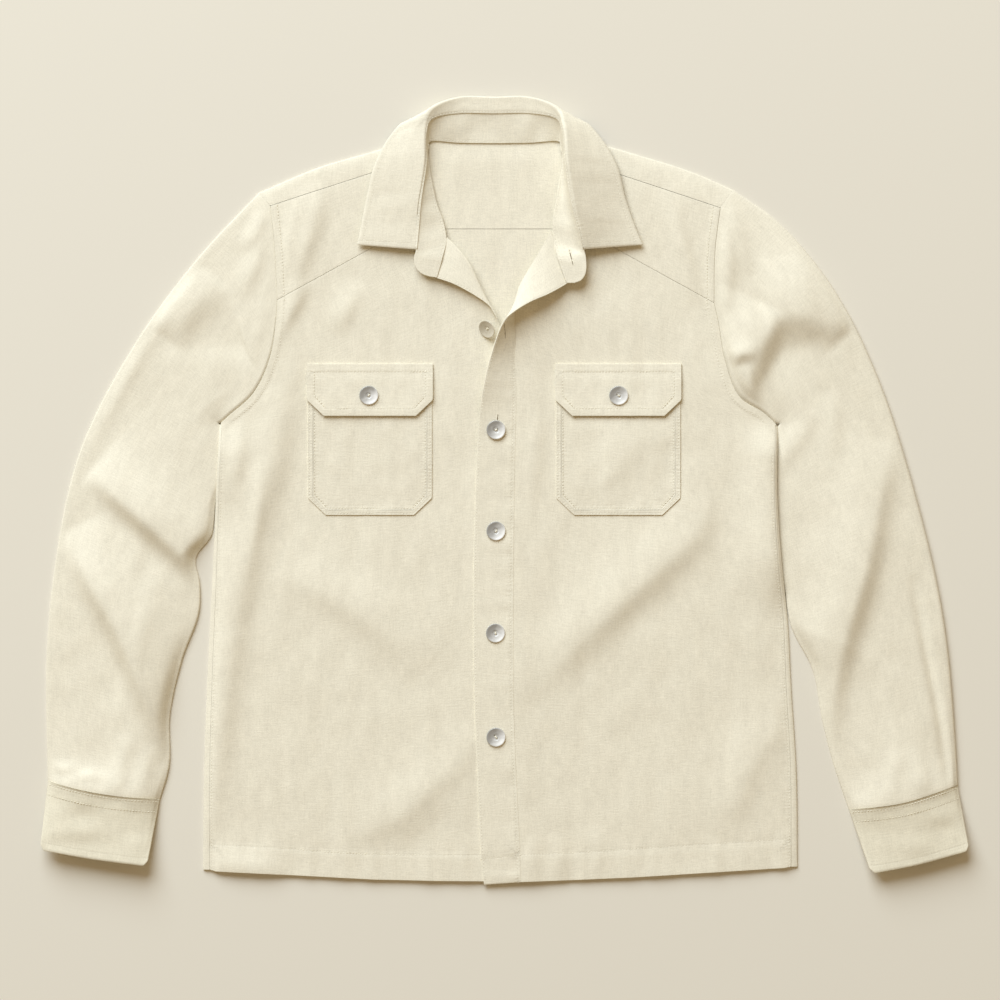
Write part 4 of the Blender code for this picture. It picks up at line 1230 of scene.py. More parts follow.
@dataclass
class BackPiece(ClothPiece):
    """A piece that lies flat on the floor, with strips that fold over to the front."""

    halves: dict[Side, Half]
    strip_points: int = 3

    def plan(self) -> Array:
        """Plan points of the flat part."""
        raise NotImplementedError

    def strip(self, half: Half, edge: Array, inwards: Array, stop: Array, inside: bool,
              up: float = 0.0) -> tuple[list, Array]:
        """A strip over a folded edge.

        Args:
            half: The side that it lies on.
            edge: Outermost plan point.
            inwards: The way in from it.
            stop: Plan point at its seam.
            inside: Whether its inner sheet is asked for.
            up: How far the fold is lifted.

        Returns:
            Points round the fold, and on the strip.
        """
        bend = fold_points(edge, inwards, BODY_FOLD, BODY_FOLD - CLOTH if inside else BODY_FOLD, up)
        start = np.array(bend[-1][:2])
        flat = start + np.linspace(0, 1, self.strip_points + 1)[1:, None] * (stop - start)
        return bend, np.column_stack([flat, half.body(flat) + (0 if inside else CLOTH)])

    def cut(self) -> Cut:
        """The flat part."""
        plan = self.plan()
        return cut_of(outline([plan[0], plan[-1], plan[:, 0], plan[:, -1]]))


@dataclass
class Back(BackPiece):
    """The back, flat on the floor, folded over to the front along both sides below the armholes."""

    rows_below: int = 60
    rows_above: int = 39
    columns: int = 80
    edge_steps: int = 300
    first_column: float = 0.012
    seam_clear: float = 0.0004  # share of its length that it stops short of the yoke's seam
    name = "back"

    def lines(self) -> tuple[dict[Side, Array], dict[Side, Array]]:
        """Folded edges below the pits and armhole edges above them.

        Returns:
            Both lines for each side.
        """
        edge = {s: spaced(h.edge, self.rows_below) for s, h in self.halves.items()}
        hole = {s: along(h.armhole, np.linspace(0, share_at(h.armhole, YOKE_SEAM), self.rows_above + 1))
                for s, h in self.halves.items()}
        return edge, hole

    def plan(self) -> Array:
        """Plan points of the flat part.

        Returns:
            The grid.
        """
        edge, hole = self.lines()
        right, left = Side.RIGHT, Side.LEFT
        hem = [*PATTERNS[right].hem[:-1], *PATTERNS[left].hem[::-1]]
        low = spaced(np.array([edge[right][0], *hem, edge[left][0]]), self.edge_steps)
        high = spaced(np.array([hole[right][-1], hole[left][-1]]), self.edge_steps)
        first, last = (joined(edge[s], hole[s]) for s in (right, left))
        v = np.linspace(0, 1, len(first))
        v[-1] -= self.seam_clear
        return patch([low, high, first, last], from_sides(self.first_column, self.columns), v)

    def shell(self) -> Shell:
        """Flat below, with strips folded over the sides.

        Returns:
            The shell.
        """
        plan, below = self.plan(), self.rows_below
        plan[below + 1:, 0] += (GAP / 2, 0)
        plan[below + 1:, -1] -= (GAP / 2, 0)
        sheets = []
        for inside in (False, True):
            sheet = []
            for row in range(below + 1):
                ends = {}
                for side, column in ((Side.RIGHT, 0), (Side.LEFT, -1)):
                    half = self.halves[side]
                    inwards = np.array([-side.value, 0.0])
                    stop = half.seam[row] - inwards * GAP / 2
                    up = half.edge_rise(plan[row, column][None])[0]
                    ends[side] = np.vstack(self.strip(half, plan[row, column], inwards, stop, inside, up))
                flat = plan[row, 1:-1]
                rise = sum(half.edge_rise(flat) for half in self.halves.values()) + (CLOTH if inside else 0.0)
                middle = np.column_stack([flat, rise])
                sheet.append(np.vstack([ends[Side.RIGHT][::-1], middle, ends[Side.LEFT]]))
            sheets.append(np.array(sheet))
        lower = numbered(sheets[0].shape)
        wrap = len(FOLD_ANGLES) + self.strip_points
        upper_plan = plan[below + 1:]
        upper = numbered(upper_plan.shape, lower.size)
        faces = faces_of(lower) + faces_of(np.vstack([lower[-1][wrap - 1:1 - wrap], upper]))
        points = []
        for sheet, level in zip(sheets, (0.0, CLOTH)):
            waves = neck_waves(upper_plan) if level else 0.0
            high = with_height(upper_plan, level + waves)
            points.append(np.vstack([sheet.reshape(-1, 3), high.reshape(-1, 3)]))
        return Shell(points[0], points[1], faces, points[0][:, :2].copy(), crisp=True)


@dataclass
class BackYoke(BackPiece):
    """The yoke: flat under the neck, folded over both shoulders to the front shoulder seams."""

    collar: "CollarForm" = field(kw_only=True)
    steps: int = 48
    end_points: int = 30
    pitch: float = 4.0
    strip_points: int = 7
    depth: float = 90.0  # length of the flat part, which gives its rows
    under: float = 6.0  # how far its edge lies beyond the collar's seam
    seam_clear: float = 0.0022  # share of its length that it stops short of the back's seam
    nip: float = 0.12  # how much thicker the strips are at their seams
    over: float = 1.15  # what the strips add to the flat part's length and area
    name = "back_yoke"

    def plan(self) -> Array:
        """Plan points of the flat part.

        Returns:
            The grid.
        """
        right, left = Side.RIGHT, Side.LEFT
        fold = {s: spaced(curve(PATTERNS[s].shoulder_fold), self.steps) for s in Side}
        under = [(x, y + self.under) for x, y in self.collar.back_seam()]
        neck = spaced(curve([fold[right][-1], *under, fold[left][-1]]), self.steps)
        high = joined(fold[right], neck, fold[left][::-1])
        holes = {s: self.halves[s].armhole for s in Side}
        ends = {s: along(line, np.linspace(share_at(line, YOKE_SEAM), 1, self.end_points))
                for s, line in holes.items()}
        share = (high[:, 0] - high[0, 0]) / (high[-1, 0] - high[0, 0])
        low = ends[right][0] + share[:, None] * (ends[left][0] - ends[right][0])
        v = np.linspace(0, 1, round(self.depth / self.pitch))
        v[0] += self.seam_clear
        return patch([low, high, ends[right], ends[left]], np.linspace(0, 1, len(high)), v)

    def shell(self) -> Shell:
        """Flat below, with strips folded over the shoulders.

        Returns:
            The shell.
        """
        plan = self.plan()
        steps = self.steps
        rims = {Side.RIGHT: range(0, steps + 1), Side.LEFT: range(2 * steps, 3 * steps + 1)}
        sheets = []
        for inside in (False, True):
            sheet = with_height(plan, CLOTH + neck_waves(plan) if inside else 0.0)
            strips = []
            for side, columns in rims.items():
                half = self.halves[side]
                seam = spaced(curve(half.pattern.shoulder_seam), steps)
                folded = []
                for k, column in enumerate(columns):
                    place = k if side is Side.RIGHT else steps - k
                    edge = plan[-1, column]
                    reach = np.linalg.norm(seam[place] - edge)
                    inwards = (seam[place] - edge) / reach
                    stop = edge + inwards * (reach - SEAM_GAP)
                    bend, strip = self.strip(half, edge, inwards, stop, inside)
                    sheet[-1, column] = bend[0]
                    strip[-1, 2] += self.nip if inside else -self.nip
                    folded.append(np.vstack([bend[1:], strip]))
                strips.append(np.swapaxes(np.array(folded), 0, 1))
            sheets.append((sheet, strips))
        base = numbered(plan.shape)
        faces = faces_of(base)
        count = base.size
        for strip, columns in zip(sheets[0][1], rims.values()):
            extra = numbered(strip.shape, count)
            count += extra.size
            faces += faces_of(np.vstack([base[-1][list(columns)], extra]))
        points = [np.vstack([sheet.reshape(-1, 3)] + [strip.reshape(-1, 3) for strip in strips])
                  for sheet, strips in sheets]
        return Shell(points[0], points[1], faces, points[0][:, :2].copy(), crisp=True)

    def cut(self) -> Cut:
        """The flat part with its strips."""
        flat = super().cut()
        return Cut(flat.width, flat.length * self.over, flat.area * self.over)


@dataclass
class Sleeve(SidePiece):
    """A sleeve from the armhole to the cuff, flat underneath."""

    hole_rows: int = 56
    arm_rows: int = 118
    columns: int = 50
    first_column: float = 0.034
    word = "sleeve"

    def edges(self) -> list[Array]:
        """Upper armhole, cuff seam, outer fold, and the lower armhole with the underarm fold.

        Returns:
            The edges in that order.
        """
        half, pattern = self.half, self.half.pattern
        upper = np.vstack([half.armhole_yoke, pattern.tip])[::-1]
        hole = spaced(half.armhole_front[::-1], self.hole_rows)[:-1]
        inner = np.vstack([hole, spaced(curve(pattern.sleeve_inner), self.arm_rows)])
        outer = spaced(curve(pattern.sleeve_outer), len(inner) - 1)
        return [spaced(upper, EDGE_STEPS), spaced(curve(pattern.cuff_seam), EDGE_STEPS), outer, inner]

    def shell(self) -> Shell:
        """A tube, open along the armhole.

        Returns:
            The shell.
        """
        edges = self.edges()
        length = arc(edges[3])[-1]
        count = len(edges[3])
        rim = (GAP / 2 + RIM[:-1]) / length
        v = np.concatenate([rim, np.linspace(0, 1, count)[1:-1], 1 - rim[::-1]])
        plan = patch(edges, from_sides(self.first_column, self.columns), v)
        open_rows = int(np.searchsorted(v, self.hole_rows / (count - 1)))
        way = plan[:open_rows, -2] - plan[:open_rows, -1]
        plan[:open_rows, -1] += GAP / 2 * way / np.linalg.norm(way, axis=-1, keepdims=True)
        bends = np.stack([self.half.outer_fold(plan[:, 0]), self.half.inner_fold(plan[:, -1])], axis=1)
        return tube(plan, self.half.sleeve(plan), bends, CLOTH, from_rim(v, length), open_rows)

    def cut(self) -> Cut:
        """Both layers of the tube."""
        return cut_of(outline(self.edges()), layers=2)


@dataclass
class Cuff(SidePiece):
    """A closed cuff, a flattened tube beyond the sleeve."""

    length: float = 66.0
    corner: float = 6.0
    pitch: float = 2.4
    columns: int = 48
    first_column: float = 0.03
    rise_power: float = 1.5
    stitch_rows: tuple[float, ...] = (2.6, 12.8, 58.5)
    row_points: int = 40
    row_steps: int = 66
    ease: tuple[float, float] = (1.08, 1.1)  # what the cut's width and length are longer by
    word = "cuff"

    def __post_init__(self) -> None:
        """Draw the waves over the cuff."""
        self.waves = Unevenness(50 + self.half.side.value, 26, 15)

    def edges(self) -> tuple[Array, Array]:
        """Seam and free end."""
        pattern = self.half.pattern
        return spaced(curve(pattern.cuff_seam), EDGE_STEPS), spaced(curve(pattern.cuff_end), EDGE_STEPS)

    def lift(self, plan: Array) -> Array:
        """Heights of the top's underside over rows of plan points.

        Args:
            plan: Rows of plan points.

        Returns:
            One height for each point.
        """
        away = np.minimum(np.linalg.norm(plan - plan[:, :1], axis=-1),
                          np.linalg.norm(plan - plan[:, -1:], axis=-1))
        edge = 2 * CUFF_FOLD - BAND
        level = np.linspace(CUFF_LIFT, CUFF_END, len(plan))[:, None]
        height = edge + (level - edge) * (1 - np.exp(-away / EDGE_REACH))
        return height + self.waves.at(plan) * (1 - close_to(away, FADE_REACH))

    def rise(self, share: Array) -> Array:
        """How far rows at shares of the way from seam to end are off the floor."""
        return self.half.folds.cuff * share ** self.rise_power

    def at(self, share: Array, u: Array) -> Array:
        """Plan points at shares of the way from seam to end.

        Args:
            share: Shares of the way from seam to end.
            u: Shares across.

        Returns:
            The grid.
        """
        seam, end = self.edges()
        away = np.minimum(u, 1 - u) * arc(end)[-1]
        corner = self.corner - np.sqrt(self.corner ** 2 - np.clip(self.corner - away, 0, None) ** 2)
        way = (share[:, None] * (1 - corner / self.length)[None])[..., None]
        return (1 - way) * sample(seam, u)[None] + way * sample(end, u)[None]

    def shell(self) -> Shell:
        """A tube with both ends rounded off.

        Returns:
            The shell.
        """
        v = stops(self.length, self.pitch)
        plan = self.at(v, from_sides(self.first_column, self.columns))
        radius = np.full((len(v), 2), CUFF_FOLD)
        return tube(plan, self.lift(plan), radius, BAND, from_rim(v, self.length), rise=self.rise(v))

    def rows(self) -> list[StitchRow]:
        """Two rows by the seam and one by the free end.

        Returns:
            The rows.
        """
        u = np.linspace(0, 1, self.row_points)
        v = np.linspace(0, 1, self.row_steps + 1)
        plan = self.at(v, u)
        top = with_height(plan, self.lift(plan) + BAND + self.rise(v)[:, None])
        result = []
        for k, stop in enumerate(self.stitch_rows):
            place = stop / self.length * (len(v) - 1)
            low = int(place)
            points = (top[low] + (place - low) * (top[low + 1] - top[low]))[1:-1]
            result.append(StitchRow(points[::-1] if k == 1 else points, 0.9))
        return result

    def cut(self) -> Cut:
        """Both layers of the tube.

        Returns:
            The cut.
        """
        seam, end = self.edges()
        area = plan_area(np.vstack([seam, end[::-1]])) * MM * MM
        width, length = arc(seam)[-1] * MM, self.length * MM
        return Cut(2 * width * self.ease[0], length * self.ease[1], 2 * area)


@dataclass(frozen=True)
class Station:
    """A collar section: neck seam, highest line, free edge, how much of the rise is stand, and lean to +X.

    Sag is 0 for a straight stand and 1 for one that lies flat by its seam and then rises steeply.
    """

    seam: tuple
    roll: tuple
    edge: tuple
    share: float
    lean: float
    sag: float = 0.0
    below: float = -0.1


@dataclass
class CollarForm:
    """The sections that stand and fall are made from, over one half from the middle of the back."""

    halves: dict[Side, Half]
    back_stations: int = 3
    neck_clear: float = 4.0
    stations: tuple[Station, ...] = (
        Station((0, 357), (0, 402, 6.4), (0, 374, 1.9), 0.70, -5.5),
        Station((36, 357.5), (34, 402, 6.8), (37, 375, 2.0), 0.70, -5.5),
        Station((63, 359), (61, 391, 14), (84, 379, 5), 0.75, -5.5, 0.3, 0.6),
        Station((66.5, 350), (69, 371, 23), (104, 364, 7), 0.85, -5.5, 0.7),
        Station((67, 338), (71, 338, 27), (121, 334, 9), 0.90, -4.5, 1.0),
        Station((60.5, 300), (78, 300, 25), (129.5, 300, 9), 0.93, -4.0, 1.0),
        Station((55, 278), (82, 274, 21), (137, 272.5, 9), 0.96, -2.0, 1.0),
        Station((54, 259), (85, 250, 16), (142.6, 254.7, 9), 1.0, 0.0, 0.8),
    )
    right_share: float = 0.56
    right_least: float = 12.0
    right_sag: float = 0.35
    right_tab: tuple = (
        ((-57.5, 243, 10.6), (-85.6, 243, 11.8)),
        ((-59.5, 235, 10.8), (-85.2, 235.5, 11.8)),
        ((-61.3, 228.5, 11.0), (-82.5, 229.8, 11.8)),
        ((-62.5, 224, 11.2), (-77.5, 225.6, 11.8)),
        ((-63.2, 222, 11.3), (-70.5, 223, 11.7)),
    )
    left_tab: tuple = (
        ((57.5, 243, 13.2), (85.6, 243, 15)),
        ((60.5, 234, 14), (86.2, 232, 15.5)),
        ((63.2, 226, 14.8), (84.8, 224.6, 15.5)),
        ((65.3, 220, 15.2), (80.8, 219.2, 15.5)),
        ((66.8, 216.3, 15.4), (74, 216.4, 15.5)),
    )

    def neck_line(self, side: Side, low: tuple, high: tuple) -> Array:
        """The neckline from one seam's end up to the next, past the stations between them.

        Args:
            side: The side.
            low: The lower seam's end.
            high: The upper seam's end.

        Returns:
            The line.
        """
        clear = self.neck_clear
        between = [s for s in reversed(self.stations) if low[1] + clear < s.seam[1] < high[1] - clear]
        return curve([low] + [(side.value * s.seam[0] + s.lean, s.seam[1]) for s in between] + [high])

    def back_seam(self) -> list[tuple]:
        """Neck seam of the stations that stand on the back yoke, from right to left.

        Returns:
            The plan points.
        """
        stations = self.stations[:self.back_stations]
        right = [(-s.seam[0] + s.lean, s.seam[1]) for s in stations[::-1]]
        return right + [(s.seam[0] + s.lean, s.seam[1]) for s in stations[1:]]

    def rows(self) -> Array:
        """All sections from the right front round the back to the left front.

        Returns:
            Neck seam, highest line, free edge, share of the stand and sag of each.
        """
        rows = []
        for side, stations in ((Side.RIGHT, self.stations[::-1]), (Side.LEFT, self.stations[1:])):
            for s in stations:
                x, y = side.value * s.seam[0] + s.lean, s.seam[1]
                on_back = s in self.stations[:self.back_stations]
                below = s.below if on_back else self.halves[side].body(np.array([[x, y]]))[0]
                seam = (x, y, below + CLOTH + GAP + BAND / 2)
                height = s.roll[2]
                if side is Side.RIGHT and not on_back:
                    height = max(height * self.right_share, self.right_least)
                roll = (side.value * s.roll[0] + s.lean, s.roll[1], height)
                edge = (side.value * s.edge[0] + s.lean, *s.edge[1:])
                sag = s.sag * (self.right_sag if side is Side.RIGHT else 1)
                rows.append((*seam, *roll, *edge, s.share, sag))
        return np.array(rows)

    def tab_rows(self, side: Side) -> list[tuple]:
        """Sections of the stand past the fall: seam and top edge."""
        return [(*seam, *top) for seam, top in (self.right_tab if side is Side.RIGHT else self.left_tab)]


def grid_edge(grid: Array, first: bool = True, last: bool = True) -> Array:
    """Distance of a grid's points from its edges, measured along its rows and columns.

    Args:
        grid: The points.
        first: Whether the first column is such an edge.
        last: Whether the last column is such an edge.

    Returns:
        One distance for each point.
    """
    across, up = grid_run(grid, 1), grid_run(grid, 0)
    sides = [up, up[-1:] - up]
    sides += [across] if first else []
    sides += [across[:, -1:] - across] if last else []
    return np.min(sides, axis=0)


def ruled(rows: Array, shares: Array) -> Array:
    """A grid of straight lines, one for each row that holds its two end points."""
    way = shares[None, :, None]
    return rows[:, None, :3] * (1 - way) + rows[:, None, 3:6] * way


def column_at(grid: Array, distance: float, from_end: bool) -> Array:
    """Fractional column at a distance from the first or last column, for each row of a grid.

    Args:
        grid: The grid.
        distance: The distance.
        from_end: Whether it is from the last column.

    Returns:
        The columns.
    """
    result = []
    for line in grid:
        lengths = arc(line)
        wanted = lengths[-1] - distance if from_end else distance
        result.append(np.interp(wanted, lengths, np.arange(len(line))))
    return np.array(result)


class BandPiece(ClothPiece):
    """A doubled piece whose form is a grid of points in space."""

    wall: float = BAND
    butted: tuple[bool, bool] = (False, False)
    rim: float = RIM_LEAST
    ease: float = 1.02  # what the cut's length is longer by

    def grid(self) -> Array:
        """The piece's middle sheet."""
        raise NotImplementedError

    def shell(self) -> Shell:
        """The piece's form, with its edges rounded off where they butt against no other piece.

        Returns:
            The shell.
        """
        grid = self.grid()
        shell = band(grid, self.wall, grid_edge(grid, *(not butted for butted in self.butted)), self.rim)
        shell.crisp = any(self.butted)
        return shell

    def run(self, row: Any, column: Any) -> Array:
        """A line on the piece's upper sheet.

        Args:
            row: Fractional rows of its grid.
            column: Fractional columns of it.

        Returns:
            The line's points.
        """
        grid = self.shell().upper
        row, column = np.broadcast_arrays(np.asarray(row, float), np.asarray(column, float))
        r = np.clip(np.floor(row).astype(int), 0, grid.shape[0] - 2)
        c = np.clip(np.floor(column).astype(int), 0, grid.shape[1] - 2)
        a, b = (row - r)[:, None], (column - c)[:, None]
        return ((1 - a) * (1 - b) * grid[r, c] + (1 - a) * b * grid[r, c + 1]
                + a * (1 - b) * grid[r + 1, c] + a * b * grid[r + 1, c + 1])

    def cut(self) -> Cut:
        """Width and length of the grid, with its area.

        Returns:
            The cut.
        """
        grid = self.grid()
        across = np.linalg.norm(np.diff(grid, axis=1), axis=-1).sum(axis=1)
        up = arc(grid[:, grid.shape[1] // 2])
        area = np.trapz(across, up)
        return Cut(across.max() * MM, up[-1] * MM * self.ease, area * MM * MM)


def rim_shares(count: int, length: float) -> Array:
    """Shares across a band, with close rows at both edges."""
    rim, edge = RIM[:-1] / length, RIM[-1] / length
    return np.concatenate([rim, np.linspace(edge, 1 - edge, count + 1), 1 - rim[::-1]])


@dataclass
class Stand(BandPiece):
    """The collar stand, from tab to tab, from the neck seam up to the fall."""

    form: CollarForm
    steps: int = 9
    columns: int = 14
    width: float = 28.0
    below: float = 0.015
    short: float = 1.4
    wave: float = 1.1
    seam_row: float = 2.2
    name = "collar_stand"
    rests_on = ("back_yoke", "front_right", "front_left")

    def __post_init__(self) -> None:
        """Draw the soft waves along the stand."""
        self.waves = Unevenness(81, 13, 60)

    def grid(self) -> Array:
        """Sections from the right tab round the back to the left tab.

        Returns:
            The grid.
        """
        body = self.form.rows()
        seam, roll, share, sag = body[:, :3], body[:, 3:6], body[:, 9:10], body[:, 10:]
        way = roll - seam
        top = seam + (share - self.short / np.linalg.norm(way, axis=1, keepdims=True)) * way
        right, left = (self.form.tab_rows(side) for side in (Side.RIGHT, Side.LEFT))
        right, left = ([(*row, 0.0) for row in rows] for rows in (right, left))
        rows = sections(np.vstack([right[::-1], np.hstack([seam, top, sag]), left]), self.steps)
        way = rim_shares(self.columns, self.width)
        grid = ruled(rows, way - self.below * (1 - way))
        grid[..., 2] -= ((rows[:, 5] - rows[:, 2]) * rows[:, 6])[:, None] * (way - way ** 3)[None]
        run = arc(grid[:, grid.shape[1] // 2])
        wave = self.waves.at(np.stack([run, 0 * run], axis=1))
        grid[..., 2] += self.wave * wave[:, None] * np.sin(pi * way)[None]
        return grid

    def rows(self) -> list[StitchRow]:
        """A row over the neck seam.

        Returns:
            The rows.
        """
        grid = self.grid()
        count = np.arange(len(grid))
        low = column_at(grid, self.seam_row, False)
        tabs = len(self.form.left_tab) * self.steps
        middle = slice(tabs // 2, len(grid) - tabs // 2)
        return [StitchRow(self.run(count[middle], low[middle]), 0.9)]


@dataclass
class Fall(BandPiece):
    """The collar fall, over the roll from the stand to its free edge."""

    form: CollarForm
    steps: int = 10
    roll_points: int = 12
    run_points: int = 22
    lip_places: tuple[float, ...] = (0.35, 0.55, 0.78)
    lip_row: float = 1.5
    edge_row: float = 5.4
    edge_points: int = 140
    end_points: int = 24
    end_column: int = -8  # the column that the rows' distance from the front ends is measured along
    wave: float = 0.8
    fine_wave: float = 0.3
    wave_width: float = 60.0
    calm_roll: float = 14.0  # how far from the roll the waves set in
    calm_edge: float = 10.0  # how far from the free edge they die out
    name = "collar_fall"
    rests_on = ("collar_stand", "front_right", "front_left", "front_yoke_right", "front_yoke_left")
    rim = 0.4

    def __post_init__(self) -> None:
        """Draw the soft waves over the fall."""
        self.waves = Unevenness(91, 30, 26)
        self.ripple = Unevenness(92, 7, 400)

    def section(self, row: Array) -> Array:
        """One section: up from the stand, round the roll and down to the free edge.

        Args:
            row: Neck seam, highest line, free edge and share of the stand.

        Returns:
            The section's points.
        """
        seam, roll, edge, share = row[:3], row[3:6], row[6:9], row[9]
        up = roll - seam
        length = np.linalg.norm(up)
        up = up / length
        out = (edge - roll) - up * np.dot(edge - roll, up)
        out = out / np.linalg.norm(out)
        size = min(ROLL, ROLL_SHARE * roll[2])
        start = seam + up * (length * share - OVERLAP)
        turn = atan2(np.dot(edge - roll, out), np.dot(edge - roll, up))
        reach = max(length * (1 - share) + OVERLAP - size * sin(min(turn, pi / 2)), LEAST_RISE)
        hub = start + up * reach + out * size
        bend = [hub + size * (up * sin(a) - out * cos(a)) for a in np.linspace(0, turn, self.roll_points)]
        way = edge - bend[-1]
        rim = 1 - RIM[:-1][::-1] / np.linalg.norm(way)
        places = np.concatenate([np.linspace(0, rim[0], self.run_points + 1)[1:], rim[1:]])
        run = [bend[-1] + way * place for place in places]
        lip = np.concatenate([RIM / np.linalg.norm(bend[0] - start), self.lip_places])
        proud = unit(np.array([0, 0, 1.0]) - up * up[2]) * LIP
        rise = [start + (bend[0] - start) * place + proud * (1 - smooth_step(place)) for place in lip]
        return np.array(rise + bend + run)

    def grid(self) -> Array:
        """Sections from the right front round the back to the left front.

        Returns:
            The grid.
        """
        rows = sections(self.form.rows(), self.steps)
        ends = [sample(rows, RIM[1:-1] / arc(rows[:, 6:9])[-1]),
                sample(rows, 1 - RIM[1:-1][::-1] / arc(rows[:, 6:9])[-1])]
        rows = np.vstack([rows[:1], ends[0], rows[1:-1], ends[1], rows[-1:]])
        grid = np.array([self.section(row) for row in rows])
        first = self.roll_start()
        run = arc(grid[:, first + self.roll_points])
        across = np.linspace(0, self.wave_width, grid.shape[1])
        place = np.stack(np.broadcast_arrays(run[:, None], across[None]), axis=-1)
        past = np.zeros(grid.shape[:2])
        past[:, first:] = grid_run(grid[:, first:], 1)
        bend = (1 - close_to(past, self.calm_roll)) * (1 - close_to(past[:, -1:] - past, self.calm_edge))
        grid[..., 2] += (self.wave * self.waves.at(place) + self.fine_wave * self.ripple.at(place)) * bend
        return grid

    def roll_start(self) -> int:
        """The column where the roll begins."""
        return len(RIM) + len(self.lip_places)

    def rows(self) -> list[StitchRow]:
        """A row beside the edge on the stand, and one beside the free edge and the two front ends.

        Returns:
            The rows.
        """
        grid = self.grid()
        inset = self.edge_row
        edge = column_at(grid, inset, True)
        lengths = arc(grid[:, self.end_column])
        first = np.interp(inset, lengths, np.arange(len(grid)))
        last = np.interp(lengths[-1] - inset, lengths, np.arange(len(grid)))
        rows = np.linspace(first, last, self.edge_points)
        columns = np.interp(rows, np.arange(len(grid)), edge)
        start = self.roll_start() + self.roll_points + 2
        right = np.linspace(start, columns[0], self.end_points)[:-1]
        left = np.linspace(columns[-1], start, self.end_points)[1:]
        row = np.concatenate([np.full(len(right), first), rows, np.full(len(left), last)])
        column = np.concatenate([right, columns, left])
        lip = self.run(np.arange(len(grid)), column_at(grid, self.lip_row, False))
        return [StitchRow(lip, 1.2), StitchRow(self.run(row, column), 0.8)]


@dataclass
class Facing(BandPiece):
    """The top of the right front edge, turned back over the front from neck to break."""

    half: Half
    steps: int = 14
    columns: int = 16
    wall: float = CLOTH
    turns: tuple = (
        ((-56, 264.5), (-66, 222.5, 10.5)),
        ((-40, 248), (-46, 215.5, 12.5)),
        ((-27, 227), (-25, 204, 13.5)),
        ((-14, 202), (-10, 193, 13)),
        ((-5, 184), (-2.5, 181, 12)),
    )
    width: float = 34.0
    edge_row: float = 1.8
    name = "facing_right"
    rests_on = ("front_right",)

    def grid(self) -> Array:
        """Lines from the turn to the free edge.

        Returns:
            The grid.
        """
        rows = []
        for turn, edge in self.turns:
            level = self.half.body(np.array([turn], float))[0] + CLOTH + GAP + CLOTH / 2
            rows.append((*turn, level, *edge))
        return ruled(sections(rows, self.steps), rim_shares(self.columns, self.width))

    def rows(self) -> list[StitchRow]:
        """A row beside the free edge."""
        grid = self.grid()
        return [StitchRow(self.run(np.arange(len(grid)), column_at(grid, self.edge_row, True)), 0.5)]


